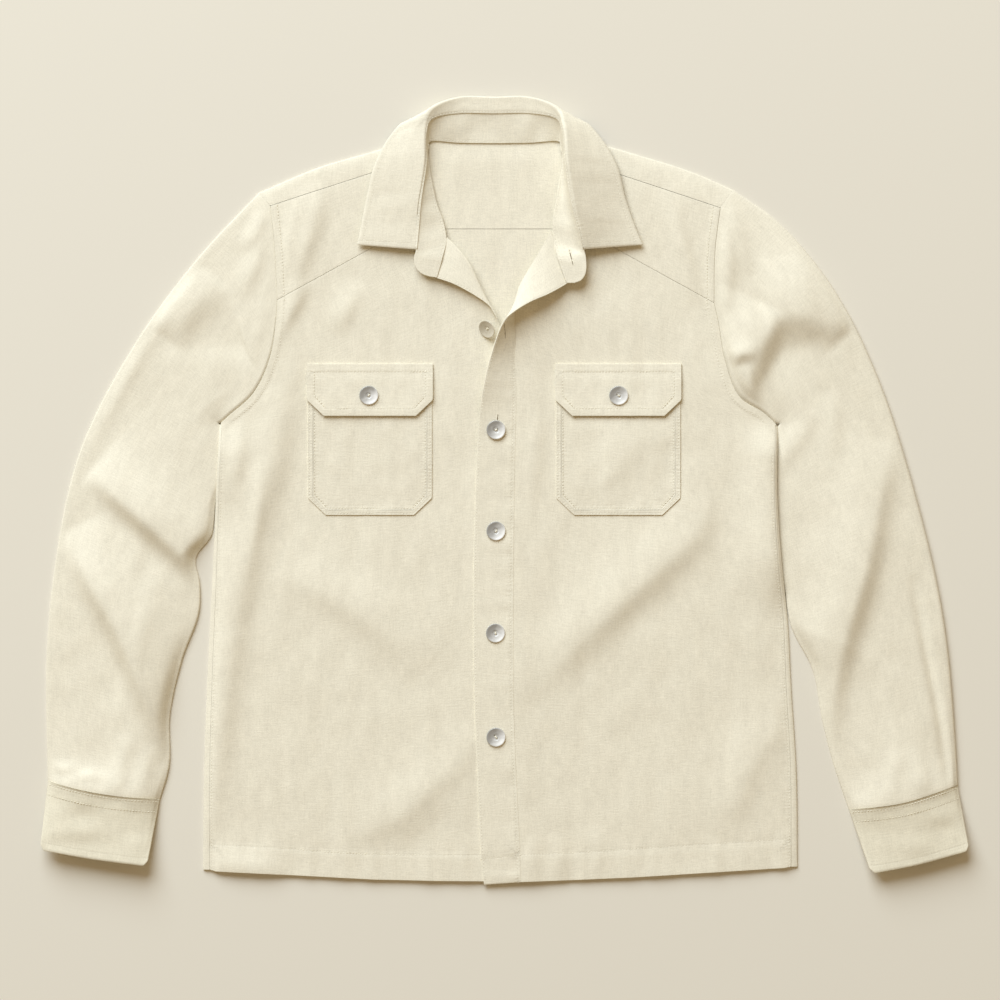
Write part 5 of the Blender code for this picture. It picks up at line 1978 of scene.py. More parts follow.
@dataclass
class Placket(BandPiece):
    """The strip with the buttonholes, flat below and turned back at the neck."""

    half: Half
    steps: int = 18
    columns: int = 18
    folded: int = 8
    lap: float = 0.8
    strips: tuple = (
        (-382, (-16, -384.5), -0.6),
        (-342, (-19.4, -346), -0.6),
        (-212, (-25, -212), -0.6),
        (-120, (-26.5, -112), -0.6),
        (-31, (-25.5, -31), -0.6),
        (70, (-21.5, 72), 1.0),
        (115, (-15.5, 118), 6.5),
        (150, (-8, 148), 10.5),
        (182, (2, 175), 14),
        (208, (14, 187), 13),
        (227, (31, 197.5), 11.5),
        (246, (50, 206), 9),
        (268, (72.5, 219), 3),
    )
    width: float = 38.0
    flat_below: float = 140.0  # Y below which it lies flat
    flat_soft: float = 30.0  # over which it then turns back
    pucker_soft: float = 40.0  # over which its puckers then die out
    pucker: tuple[float, float] = (0.6, 0.2)  # height of the puckers beside the seam, and all over
    pucker_reach: tuple[float, float] = (0.25, 0.06)  # shares of the width where they end and set in
    row_top: float = 150.0  # Y where the row beside the seam ends
    proud: float = 0.25  # how much higher than the front its seam lies
    seam_row: float = 2.6
    edge_row: float = 1.7
    hem_row: float = -356.0  # Y of the row along the hem
    hem_column: int = 9  # the column that this Y is looked up in
    hem_points: int = 14
    name = "placket"
    rests_on = ("front_right", "front_left")
    butted = (True, False)
    rim = 0.4

    def __post_init__(self) -> None:
        """Draw the small puckers beside the seam."""
        self.puckers = Unevenness(61, 60, 8)

    def sections(self) -> Array:
        """Seam and free edge with their heights, from hem to neck.

        Returns:
            One row for each section.
        """
        lap = self.half.lap
        rows = []
        for k, (seam_y, edge, lift) in enumerate(self.strips):
            seam = np.array([np.interp(seam_y, lap[:, 1], lap[:, 0]), seam_y])
            level = self.half.body(seam[None])[0] + CLOTH
            level += GAP + BAND / 2 if k >= self.folded else -BAND / 2
            rows.append((*seam, level, *edge, level + lift))
        rows = sections(rows, self.steps)
        flat = smooth_step((self.flat_below - rows[:, 1]) / self.flat_soft)
        rows[:, 0] += flat * (np.interp(rows[:, 1], lap[:, 1], lap[:, 0]) - rows[:, 0])
        plan = rows[:, :2]
        flush = self.half.body(plan) + CLOTH + Front(self.half).raised(plan) - BAND / 2 + self.proud
        rows[:, 2] += flat * (flush - rows[:, 2])
        way = rows[:, 3:] - rows[:, :3]
        rows[:, :3] -= way * (self.lap / np.linalg.norm(way, axis=1, keepdims=True))
        return rows

    def grid(self) -> Array:
        """Lines from the seam to the free edge.

        Returns:
            The grid.
        """
        rows = self.sections()
        ends = RIM[1:] / arc(rows[:, :3])[-1]
        rows = np.vstack([rows[:1], sample(rows, ends), rows[1:-1], sample(rows, 1 - ends[::-1]), rows[-1:]])
        share = rim_shares(self.columns, self.width)
        grid = ruled(rows, share)
        flat = smooth_step((self.flat_below - grid[..., 1]) / self.pucker_soft)
        (seam, rest), (end, start) = self.pucker, self.pucker_reach
        reach = (seam * close_to(share, end) + rest) * (1 - close_to(share, start))
        grid[..., 2] += flat * self.puckers.at(grid[..., :2]) * reach[None]
        return grid

    def rows(self) -> list[StitchRow]:
        """Rows beside the seam and the free edge, and the hem.

        Returns:
            The rows.
        """
        grid = self.grid()
        count = np.arange(len(grid))
        seam = self.run(count, column_at(grid, self.seam_row, False))
        edge = self.run(count, column_at(grid, self.edge_row, True))
        across = np.linspace(2, grid.shape[1] - 3, self.hem_points)
        low = np.interp(self.hem_row, grid[:, self.hem_column, 1], count)
        hem = self.run(np.full(len(across), low), across)
        return [StitchRow(seam[seam[:, 1] < self.row_top], 1.2), StitchRow(edge, 0.7), StitchRow(hem, 0.8)]


@dataclass
class Patch(SidePiece):
    """A flat shape with cut lower corners that lies on a front: a pocket, or a flap over it."""

    width: float = 124.0
    top: float = 22.0
    low: float = 151.0
    corner: tuple[float, float] = (18.0, 17.0)
    pitch: float = 1.8
    wall: float = 0.8
    turned: float = 0.4  # height of the doubled edges
    turned_past: float = 1.4  # how far past the inner row they end
    turned_soft: float = 2.2
    clear: float = 0.08  # gap to the cloth below
    wave: float = 0.16
    cut_shift: float = 0.62  # what a row's inset moves its cut corners up by, as a share of it
    cut_shrink: float = 0.02  # share that they are narrower by for each millimetre of it
    side_points: int = 60
    low_points: int = 30
    rows_in: tuple[float, ...] = (1.7, 6.6)
    word = "pocket"

    def __post_init__(self) -> None:
        """Draw the small waves of the top."""
        self.waves = Unevenness(100 + self.half.side.value + len(self.word), 12, 12)

    @property
    def rests_on(self) -> tuple[str, ...]:
        """The front below it."""
        return ("front_" + self.half.side.word,)

    def half_width(self, stop: Array, inset: float = 0.0) -> Array:
        """Half widths of the shape, or of an outline further in.

        Args:
            stop: Distances below the flap's top edge.
            inset: How far in the outline lies.

        Returns:
            One half width for each distance.
        """
        width, height = self.corner
        cut = np.clip((stop - (self.low - height) + self.cut_shift * inset) / height, 0, 1)
        return self.width / 2 - inset - cut * width * (1 - self.cut_shrink * inset)

    def base(self, plan: Array) -> Array:
        """Heights of the underside."""
        return self.half.body(plan) + CLOTH + self.clear

    def raised(self, plan: Array, edge: Array) -> Array:
        """The doubled edges and small waves of the top."""
        turned = smooth_step((self.rows_in[-1] + self.turned_past - edge) / self.turned_soft)
        return self.turned * turned + self.wave * self.waves.at(plan)

    def place(self, across: Array, stop: Array) -> Array:
        """Plan points at distances from the middle and below the flap's top edge."""
        middle, top = self.half.pattern.pocket_middle
        return np.stack(np.broadcast_arrays(middle + across, top - stop), axis=-1)

    def shell(self) -> Shell:
        """The shape as a grid of rows.

        Returns:
            The shell.
        """
        height = self.low - self.top
        v = stops(height, self.pitch, inset=0.0)
        stop = self.top + v * height
        half = self.half_width(stop)
        u = 2 * stops(self.width, self.pitch, inset=0.0) - 1
        plan = self.place(half[:, None] * u[None], stop[:, None] + 0 * u[None])
        sides = half[:, None] * (1 - np.abs(u))[None]
        edge = np.minimum(sides, from_rim(v, height)[:, None])
        return panel(plan, self.base(plan), self.wall, edge, self.raised(plan, edge))

    def inset_line(self, inset: float, start: float) -> Array:
        """The outline further in by inset, down one side, along the bottom and up the other.

        Args:
            inset: How far in.
            start: Where it starts below the flap's top edge.

        Returns:
            The line.
        """
        stop = np.linspace(start, self.low - inset, self.side_points)
        half = self.half_width(stop, inset)
        across = np.linspace(-half[-1], half[-1], self.low_points)[1:-1]
        bottom = self.place(across, np.full(len(across), self.low - inset))
        return np.vstack([self.place(-half, stop), bottom, self.place(half[::-1], stop[::-1])])

    def on_top(self, plan: Array) -> Array:
        """Plan points on the piece's top."""
        return with_height(plan, self.base(plan) + self.wall + self.turned)

    def rows(self) -> list[StitchRow]:
        """Rows along the sides and the bottom."""
        lines = [self.inset_line(inset, self.top + 2) for inset in self.rows_in]
        return [StitchRow(self.on_top(line[::flip]), 1.5) for line, flip in zip(lines, (1, -1))]

    def cut(self) -> Cut:
        """The shape's outline laid flat."""
        return cut_of(self.inset_line(0.0, self.top))


@dataclass
class Flap(Patch):
    """A pocket flap, sewn along its top edge and free below."""

    width: float = 126.0
    top: float = 0.0
    low: float = 52.0
    corner: tuple[float, float] = (17.0, 16.0)
    wall: float = 1.3
    clear: float = 0.2
    rows_in: tuple[float, ...] = (7.4,)
    seam_row: float = 7.6
    seam_short: float = 1.0  # how far from both sides that row ends
    word = "flap"
    step: float = 1.3
    climb: float = 18.0
    lift: float = 0.9
    free: float = 14.0

    def base(self, plan: Array) -> Array:
        """On the front at its seam, then over the pocket, and free below.

        Args:
            plan: Plan points.

        Returns:
            One height for each point.
        """
        stop = self.half.pattern.pocket_middle[1] - plan[..., 1]
        over = self.step * smooth_step(stop / self.climb)
        off = self.lift * smooth_step((stop - self.free) / (self.low - self.free))
        return super().base(plan) + over + off

    def rows(self) -> list[StitchRow]:
        """The row round the free edges, and the one below the top edge.

        Returns:
            The rows.
        """
        line = self.inset_line(self.rows_in[0], self.seam_row)
        reach = self.width / 2 - self.seam_short
        across = np.linspace(-reach, reach, self.low_points)
        top = self.place(across, np.full(len(across), self.seam_row))
        return [StitchRow(self.on_top(line), 0.9), StitchRow(self.on_top(top[::-1]), 0.9)]


@dataclass(frozen=True)
class ButtonPlace:
    """Where a button lies: plan place, height, tilt in degrees about a way, and turn of its holes."""

    name: str
    x: float
    y: float
    height: float
    tilt: float = 0.0
    about: tuple[float, float] = (1.0, 0.0)
    turn: float = 0.0


@dataclass
class Buttons:
    """All buttons, each a turned shell disc with a dished face and two thread holes, sewn on."""

    places: tuple[ButtonPlace, ...]
    sides: int = 72
    hole: float = 0.85
    spacing: float = 2.9
    drill_length: float = 12.0
    strand: Triple = (1.7, 0.4, 0.5)  # half sizes of a strand of thread
    strand_turn: float = 7.0
    strand_step: float = 0.36
    strand_height: float = 0.78
    strand_top: float = 0.12  # how much higher the middle one lies
    profile: tuple = (
        (0, 0.0), (2.4, 0.0), (6.0, 0.0), (7.9, 0.1), (9.0, 0.4), (9.42, 0.8), (9.5, 1.1), (9.4, 1.42),
        (9.15, 1.68), (8.8, 1.8), (8.4, 1.76), (7.6, 1.52), (6.2, 1.16), (4.8, 0.92), (3.6, 0.82),
        (3.2, 0.76), (2.9, 0.56), (2.5, 0.46), (0, 0.42),
    )

    def disc(self) -> Mesh:
        """One button about the origin, with its thread holes cut through.

        Returns:
            The mesh.
        """
        shape = bmesh.new()
        points = [shape.verts.new((r * MM, 0, z * MM)) for r, z in self.profile]
        lines = [shape.edges.new(pair) for pair in zip(points, points[1:])]
        bmesh.ops.spin(shape, geom=points + lines, cent=(0, 0, 0), axis=(0, 0, 1), angle=2 * pi,
                       steps=self.sides, use_merge=True)
        bmesh.ops.remove_doubles(shape, verts=shape.verts, dist=1e-6)
        bmesh.ops.recalc_face_normals(shape, faces=shape.faces)
        body = shown("button_blank", mesh_of("button_disc", shape))
        drills = [self.drill(body, sign) for sign in (-1, 1)]
        graph = bpy.context.evaluated_depsgraph_get()
        result = bpy.data.meshes.new_from_object(body.evaluated_get(graph))
        for thing in drills + [body]:
            bpy.data.objects.remove(thing, do_unlink=True)
        return result

    def drill(self, body: Object, sign: int) -> Object:
        """A round tool that cuts one thread hole.

        Args:
            body: The button.
            sign: Which hole.

        Returns:
            The object.
        """
        shape = bmesh.new()
        bmesh.ops.create_cone(shape, cap_ends=True, segments=20, radius1=self.hole * MM,
                              radius2=self.hole * MM, depth=self.drill_length * MM)
        bmesh.ops.translate(shape, vec=(sign * self.spacing / 2 * MM, 0, 0), verts=shape.verts)
        tool = shown("button_drill", mesh_of("button_drill", shape))
        cut = body.modifiers.new("thread_hole", "BOOLEAN")
        cut.operation = "DIFFERENCE"
        cut.object = tool
        return tool

    def placed(self, place: ButtonPlace) -> Matrix:
        """Turns a button about the origin into its place.

        Args:
            place: The place.

        Returns:
            The turn and shift.
        """
        tilt = Matrix.Rotation(radians(place.tilt), 4, Vector((*place.about, 0)))
        spot = Matrix.Translation(Vector((place.x, place.y, place.height)) * MM)
        return spot @ tilt @ Matrix.Rotation(radians(place.turn), 4, "Z")

    def thread(self) -> Mesh:
        """The sewing thread of one button: three strands from hole to hole.

        Returns:
            The mesh.
        """
        shape = bmesh.new()
        for k in (-1, 0, 1):
            made = bmesh.ops.create_uvsphere(shape, u_segments=12, v_segments=8, radius=MM)["verts"]
            size = Matrix.Diagonal((*self.strand, 1))
            turn = Matrix.Rotation(radians(self.strand_turn * k), 4, "Z")
            height = self.strand_height + self.strand_top * (k == 0)
            spot = Matrix.Translation(Vector((0, self.strand_step * k, height)) * MM)
            bmesh.ops.transform(shape, matrix=spot @ turn @ size, verts=made)
        mesh = mesh_of("button_thread", shape)
        mesh.shade_smooth()
        return mesh

    def build(self, shell: Material, pale: Material, thread: Material) -> None:
        """Make every button with its thread, the tilted ones in a duller beige copy of the shell, which
        paints in the cloth's colour seen through it and the shade it lies in.

        Args:
            shell: Finish of buttons that lie flat.
            pale: Finish of tilted ones: a beige copy of the shell with painted light and shade.
            thread: Finish of the thread.
        """
        disc, strands = self.disc(), self.thread()
        local = np.array([v.co for v in disc.vertices]) / MM
        for place in self.places:
            turn = radians(place.turn)
            spun = local @ np.array([[cos(turn), sin(turn), 0], [-sin(turn), cos(turn), 0], [0, 0, 1]])
            face, sewing = disc.copy(), strands.copy()
            set_vectors(face, "turned", spun)
            face.shade_smooth()
            things = []
            look = pale if place.tilt else shell
            for mesh, word, finish in ((face, "shell", look), (sewing, "thread", thread)):
                mesh.name = f"{place.name}_{word}"
                mesh.transform(self.placed(place))
                mesh.materials.append(finish)
                things.append(shown(f"{place.name}_{word}", mesh))
                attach(things[-1], "root")
            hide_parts(place.name)
        LOG.info("buttons: %d", len(self.places))


class Graph:
    """Adds nodes to a node tree and links them."""

    def __init__(self, tree: NodeTree) -> None:
        """Start on a tree."""
        self.tree = tree

    def feed(self, node: Node, inputs: dict[Any, Any]) -> None:
        """Link sockets to a node's inputs, or set their values.

        Args:
            node: The node.
            inputs: Sockets to link or values to set, by socket name or number.
        """
        for key, value in inputs.items():
            if isinstance(value, NodeSocket):
                self.tree.links.new(value, node.inputs[key])
            else:
                node.inputs[key].default_value = value

    def add(self, kind: str, inputs: dict[Any, Any] | None = None, **settings: Any) -> Node:
        """Add a node.

        Args:
            kind: The node's type.
            inputs: Sockets to link or values to set, by socket name or number.
            settings: Properties of the node.

        Returns:
            The node.
        """
        node = self.tree.nodes.new(kind)
        for name, value in settings.items():
            setattr(node, name, value)
        self.feed(node, inputs or {})
        return node

    def out(self, kind: str, inputs: dict[Any, Any] | None = None, socket: Any = 0,
            **settings: Any) -> NodeSocket:
        """One of the outputs of a new node."""
        return self.add(kind, inputs, **settings).outputs[socket]

    def math(self, operation: str, *values: Any) -> NodeSocket:
        """A sum, product or other operation on values."""
        return self.out("ShaderNodeMath", dict(enumerate(values)), operation=operation)

    def noise(self, vector: NodeSocket, size: tuple, detail: float = 1.0) -> NodeSocket:
        """Smooth noise around 0.

        Args:
            vector: The place.
            size: Size of its grains along each axis.
            detail: How many finer layers it has.

        Returns:
            The result.
        """
        scale = tuple(1 / s for s in size)
        place = self.out("ShaderNodeVectorMath", {0: vector, 1: scale}, operation="MULTIPLY")
        noise = self.out("ShaderNodeTexNoise", {"Vector": place, "Scale": 1.0, "Detail": detail})
        return self.math("SUBTRACT", noise, 0.5)

    def weighted(self, values: Sequence[Any], weights: Sequence[float]) -> NodeSocket:
        """A sum of weighted values.

        Args:
            values: The values.
            weights: A weight for each.

        Returns:
            The result.
        """
        result = None
        for value, weight in zip(values, weights):
            product = self.math("MULTIPLY", value, weight)
            result = self.math("ADD", result, product) if result else product
        return result


class Finish:
    """A finish that gives a material of its own name."""

    name: str

    def start(self) -> tuple[Material, Graph, Node]:
        """A new material with its graph and its shader.

        Returns:
            All three.
        """
        material = bpy.data.materials.new(self.name)
        material.use_nodes = True
        return material, Graph(material.node_tree), material.node_tree.nodes["Principled BSDF"]


@dataclass(frozen=True)
class ClothFinish(Finish):
    """Plain-woven ecru cotton with slubs both ways, puckered along its stitch rows, with painted light and
    shade along those rows.
    """

    name: str = "ecru_cotton"
    colour: Triple = (0.845, 0.79, 0.652)
    weft_slub: Triple = (9.0, 1.6, 1.0)
    warp_slub: Triple = (1.6, 11.0, 1.0)
    mottle: Triple = (9.0, 22.0, 1.0)
    grit: Triple = (1.3, 1.3, 1.0)
    ladder: Triple = (2.6, 13.0, 1.0)
    ladder_spread: float = 22.0
    groove_spread: float = 0.8
    # the last two tones are painted light and shade: on the puckers, and painted shade in the stitch groove
    tones: tuple[float, ...] = (0.18, 0.17, 0.14, 0.24, 0.05, -0.04)
    heights: tuple[float, ...] = (0.11, 0.11, 0.12, 0.30, -0.10)
    roughness: float = 0.92
    specular: float = 0.15
    sheen: float = 0.12

    def group(self) -> NodeTree:
        """A node group that gives tone and height, in millimetres, from threads and stitch rows. Along the
        rows the tone holds painted light and shade: lighter on the puckers' crests, darker between them, and
        painted shade in the stitch groove.

        Returns:
            The tree.
        """
        tree = bpy.data.node_groups.new("woven_cotton", "ShaderNodeTree")
        for name in ("Grain", "Sewn"):
            tree.interface.new_socket(name, in_out="INPUT", socket_type="NodeSocketVector")
        for name in ("Tone", "Height"):
            tree.interface.new_socket(name, in_out="OUTPUT", socket_type="NodeSocketFloat")
        graph = Graph(tree)
        start = graph.add("NodeGroupInput").outputs
        weft = graph.noise(start["Grain"], self.weft_slub, 2.0)
        warp = graph.noise(start["Grain"], self.warp_slub, 2.0)
        mottle = graph.noise(start["Grain"], self.mottle, 2.0)
        grit = graph.noise(start["Grain"], self.grit, 1.0)
        run, away, mask = graph.add("ShaderNodeSeparateXYZ", {0: start["Sewn"]}).outputs
        square = graph.math("MULTIPLY", away, away)
        near, groove_and_shade = (
            graph.math("MULTIPLY", mask, graph.math("EXPONENT", graph.math("MULTIPLY", square, -1 / spread)))
            for spread in (self.ladder_spread, self.groove_spread))
        place = graph.out("ShaderNodeCombineXYZ", {0: run, 1: away})
        ladder = graph.math("MULTIPLY", near, graph.noise(place, self.ladder, 1.0))
        # the pucker and groove terms paint light and shade into the tone: lighter on pucker crests, darker
        # between them and in the groove
        tone = graph.weighted((weft, warp, mottle, grit, ladder, groove_and_shade), self.tones)
        height = graph.weighted((weft, warp, grit, ladder, groove_and_shade), self.heights)
        graph.add("NodeGroupOutput", {"Tone": graph.math("ADD", tone, 1.0), "Height": height})
        return tree

    def material(self) -> Material:
        """The finish as a material.

        Returns:
            The material.
        """
        material, graph, shader = self.start()
        look = graph.add("ShaderNodeGroup", node_tree=self.group())
        for name in ("Grain", "Sewn"):
            kept = graph.out("ShaderNodeAttribute", socket="Vector", attribute_name=name.lower())
            graph.feed(look, {name: kept})
        tint = graph.out("ShaderNodeVectorMath", {0: self.colour, "Scale": look.outputs["Tone"]},
                         operation="SCALE")
        bump = graph.out("ShaderNodeBump",
                         {"Height": look.outputs["Height"], "Strength": 1.0, "Distance": MM})
        graph.feed(shader, {"Base Color": tint, "Normal": bump, "Roughness": self.roughness,
                            "Specular IOR Level": self.specular, "Sheen Weight": self.sheen})
        return material


@dataclass(frozen=True)
class PlainFinish(Finish):
    """An even finish."""

    name: str
    colour: Triple
    roughness: float
    specular: float = 0.15

    def material(self) -> Material:
        """The finish as a material.

        Returns:
            The material.
        """
        material, graph, shader = self.start()
        graph.feed(shader, {"Base Color": (*self.colour, 1.0), "Roughness": self.roughness,
                            "Specular IOR Level": self.specular})
        return material


@dataclass(frozen=True)
class ShellFinish(Finish):
    """Polished grey shell with streaks that differ from button to button, and paler towards the lower right
    of every button: a painted highlight where its dished face meets the light.
    """

    name: str
    pale: Triple
    grey: Triple
    roughness: float = 0.25
    coat: float = 0.4
    coat_roughness: float = 0.1
    # way that every button is paler towards, the same for all: a painted highlight of the rim that faces the
    # light
    side: Triple = (0.085, -0.07, 0.0)
    streak: Triple = (6.0, 3.5, 5.0)
    apart: float = 90.0
    # weights of the painted highlight and of the streaks, and what is added to both
    shares: Triple = (0.72, 0.8, 0.32)

    def material(self) -> Material:
        """The finish as a material.

        Returns:
            The material.
        """
        material, graph, shader = self.start()
        place = graph.out("ShaderNodeAttribute", socket="Vector", attribute_name="turned")
        world = graph.out("ShaderNodeTexCoord", socket="Object")
        far = graph.out("ShaderNodeVectorMath", {0: world, "Scale": self.apart}, operation="SCALE")
        mixed = graph.out("ShaderNodeVectorMath", {0: place, 1: far}, operation="ADD")
        streak = graph.noise(mixed, self.streak, 2.0)
        # painted highlight: paler towards the same side of every button
        painted_highlight = graph.out("ShaderNodeVectorMath", {0: place, 1: self.side}, socket="Value",
                           operation="DOT_PRODUCT")
        share = graph.math("ADD", graph.weighted((painted_highlight, streak), self.shares), self.shares[2])
        colour = graph.out("ShaderNodeMix", {0: share, 6: (*self.grey, 1.0), 7: (*self.pale, 1.0)}, socket=2,
                           data_type="RGBA", clamp_factor=True)
        graph.feed(shader, {"Base Color": colour, "Roughness": self.roughness, "Coat Weight": self.coat,
                            "Coat Roughness": self.coat_roughness})
        return material


@dataclass
class Stitching:
    """All stitches as one piece: capsules of thread at equal steps along the pieces' stitch rows."""

    pitch: float = 3.1
    length: float = 2.5
    width: float = 0.74
    sink: float = 0.02
    seed: int = 7
    wobble: Triple = (0.05, 0.08, 0.09)
    stretch: tuple[float, float] = (0.86, 1.08)
    inputs: tuple = (("Pitch", "NodeSocketFloat"), ("Length", "NodeSocketFloat"),
                     ("Width", "NodeSocketFloat"), ("Turn", "NodeSocketFloat"), ("Seed", "NodeSocketInt"),
                     ("Thread", "NodeSocketMaterial"))

    def tree(self) -> NodeTree:
        """The node tree that lays stitches along lines.

        Returns:
            The tree.
        """
        tree = bpy.data.node_groups.new("stitch_rows", "GeometryNodeTree")
        tree.interface.new_socket("Geometry", in_out="INPUT", socket_type="NodeSocketGeometry")
        for name, kind in self.inputs:
            tree.interface.new_socket(name, in_out="INPUT", socket_type=kind)
        tree.interface.new_socket("Geometry", in_out="OUTPUT", socket_type="NodeSocketGeometry")
        graph = Graph(tree)
        start = graph.add("NodeGroupInput").outputs
        line = graph.out("GeometryNodeMeshToCurve", {0: start["Geometry"]})
        row = graph.out("GeometryNodeResampleCurve", {"Curve": line, "Length": start["Pitch"]}, mode="LENGTH")
        bead = graph.out("GeometryNodeMeshUVSphere", {"Segments": 8, "Rings": 5, "Radius": 0.5})
        flat = graph.math("MULTIPLY", start["Width"], 0.5)
        size = graph.out("ShaderNodeCombineXYZ", {0: start["Length"], 1: start["Width"], 2: flat})
        capsule = graph.out("GeometryNodeTransform", {"Geometry": bead, "Scale": size})
        smooth = graph.out("GeometryNodeSetShadeSmooth", {0: capsule})
        way = graph.out("GeometryNodeInputTangent")
        aim = graph.out("FunctionNodeAlignRotationToVector", {"Vector": way}, axis="X")
        least = tuple(-angle for angle in self.wobble)
        wobble = graph.out("FunctionNodeRandomValue", {0: least, 1: self.wobble, "Seed": start["Seed"]},
                           data_type="FLOAT_VECTOR")
        lean = graph.out("ShaderNodeCombineXYZ", {2: start["Turn"]})
        spin = graph.out("ShaderNodeVectorMath", {0: wobble, 1: lean}, operation="ADD")
        turned = graph.out("FunctionNodeRotateRotation", {0: aim, 1: spin}, rotation_space="LOCAL")
        stretch = graph.out("FunctionNodeRandomValue",
                            {2: self.stretch[0], 3: self.stretch[1], "Seed": start["Seed"]}, socket=1,
                            data_type="FLOAT")
        laid = graph.out("GeometryNodeInstanceOnPoints",
                         {"Points": row, "Instance": smooth, "Rotation": turned, "Scale": stretch})
        real = graph.out("GeometryNodeRealizeInstances", {0: laid})
        done = graph.out("GeometryNodeSetMaterial", {"Geometry": real, "Material": start["Thread"]})
        graph.add("NodeGroupOutput", {0: done})
        return tree

    def lay(self, name: str, lines: Sequence[Array], thread: Material,
            sizes: dict[str, float]) -> None:
        """Lay stitches along lines as a plain mesh.

        Args:
            name: The new piece's name.
            lines: Lines on the cloth.
            thread: The finish.
            sizes: Pitch, length, width and turn.
        """
        points = np.vstack(lines)
        edges, first = [], 0
        for line in lines:
            edges += [(k, k + 1) for k in range(first, first + len(line) - 1)]
            first += len(line)
        guide = bpy.data.meshes.new(name + "_guide")
        guide.from_pydata(((points - (0, 0, self.sink)) * MM).tolist(), edges, [])
        thing = shown(name, guide)
        modifier = thing.modifiers.new("stitches", "NODES")
        tree = bpy.data.node_groups.get("stitch_rows") or self.tree()
        values = {**sizes, "Seed": self.seed, "Thread": thread}
        names = {item.name: item.identifier for item in tree.interface.items_tree if item.in_out == "INPUT"}
        modifier.node_group = tree
        for key, value in values.items():
            modifier[names[key]] = value
        graph = bpy.context.evaluated_depsgraph_get()
        mesh = bpy.data.meshes.new_from_object(thing.evaluated_get(graph))
        thing.modifiers.clear()
        thing.data = mesh
        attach(thing, "root")
        LOG.info("%s: %d faces", name, len(mesh.polygons))

    def build(self, pieces: Sequence[ClothPiece], thread: Material) -> None:
        """Sew all pieces.

        Args:
            pieces: The pieces.
            thread: Finish of the thread.
        """
        lines = [row.points for piece in pieces for row in piece.stitches]
        sizes = {"Pitch": self.pitch * MM, "Length": self.length * MM, "Width": self.width * MM, "Turn": 0.0}
        self.lay("stitches", lines, thread, sizes)


@dataclass(frozen=True)
class Slit:
    """A buttonhole: the piece that it is cut in and its two ends in plan."""

    piece: str
    start: tuple
    end: tuple


@dataclass
class Buttonholes:
    """Worked buttonholes: a narrow slit between two close rows of stitches that lie across. The slit is a
    thin dark box, painted shade inside the cut.
    """

    slits: tuple[Slit, ...] = (
        Slit("placket", (4.4, 176), (5.2, 161)),
        Slit("placket", (-2.0, 85.5), (-2.6, 79.5)),
        Slit("collar_stand", (69.0, 250), (73.0, 234)),
    )
    beside: float = 1.1
    width: float = 0.9
    depth: float = 0.3
    proud: float = 0.03
    steps: int = 12
    ends: tuple[float, float] = (0.03, 0.97)  # shares of half a sine that a slit's width follows
    blunt: float = 0.4  # how bluntly it does
    neighbours: int = 4  # points of the cloth that give a height
    stitch: Triple = (0.62, 1.5, 0.6)

    def on(self, piece: ClothPiece, line: Array) -> Array:
        """A plan line on the upper side of a piece.

        Args:
            piece: The piece.
            line: The line.

        Returns:
            The line's points.
        """
        points = piece.shell().upper.reshape(-1, 3)
        away = np.linalg.norm(line[:, None] - points[None, :, :2], axis=-1)
        close = np.argsort(away, axis=1)[:, :self.neighbours]
        weight = 1 / (np.take_along_axis(away, close, axis=1) + 0.1)
        return with_height(line, (points[close, 2] * weight).sum(axis=1) / weight.sum(axis=1))

    def build(self, pieces: dict[str, ClothPiece], sewing: Stitching, thread: Material,
              shade: Material) -> None:
        """Make all slits as one piece and their stitches as another.

        Args:
            pieces: The pieces by name.
            sewing: How stitches are laid.
            thread: Finish of the thread.
            shade: Finish of the slits, their painted shade.
        """
        rows, points, faces = [], [], []
        for slit in self.slits:
            line = spaced(np.array([slit.start, slit.end], float), self.steps)
            rows += [self.on(pieces[slit.piece], offset(line, sign * self.beside)) for sign in (-1, 1)]
            taper = np.sin(pi * np.linspace(*self.ends, len(line)))[:, None] ** self.blunt
            way = unit(line[-1] - line[0])
            across = taper * self.width / 2 * np.array([-way[1], way[0], 0.0])
            middle = self.on(pieces[slit.piece], line)
            # each slit is a thin dark box: painted shade inside the cut
            low, high = (0, 0, self.depth), (0, 0, self.proud)
            first, second = middle - across, middle + across
            ring = [first - low, second - low, second + high, first + high]
            index = numbered((len(line), 4), 4 * (len(points) * len(line)))
            points.append(np.stack(ring, axis=1).reshape(-1, 3))
            faces += faces_of(np.hstack([index, index[:, :1]])) + [tuple(index[0][::-1]), tuple(index[-1])]
        whole = [tuple(map(int, face)) for face in faces]
        mesh = closed_mesh("buttonhole_slits", np.vstack(points), whole)
        mesh.materials.append(shade)
        thing = shown("buttonhole_slits", mesh)
        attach(thing, "root")
        pitch, length, width = (size * MM for size in self.stitch)
        sizes = {"Pitch": pitch, "Length": length, "Width": width, "Turn": pi / 2}
        sewing.lay("buttonhole_stitches", rows, thread, sizes)


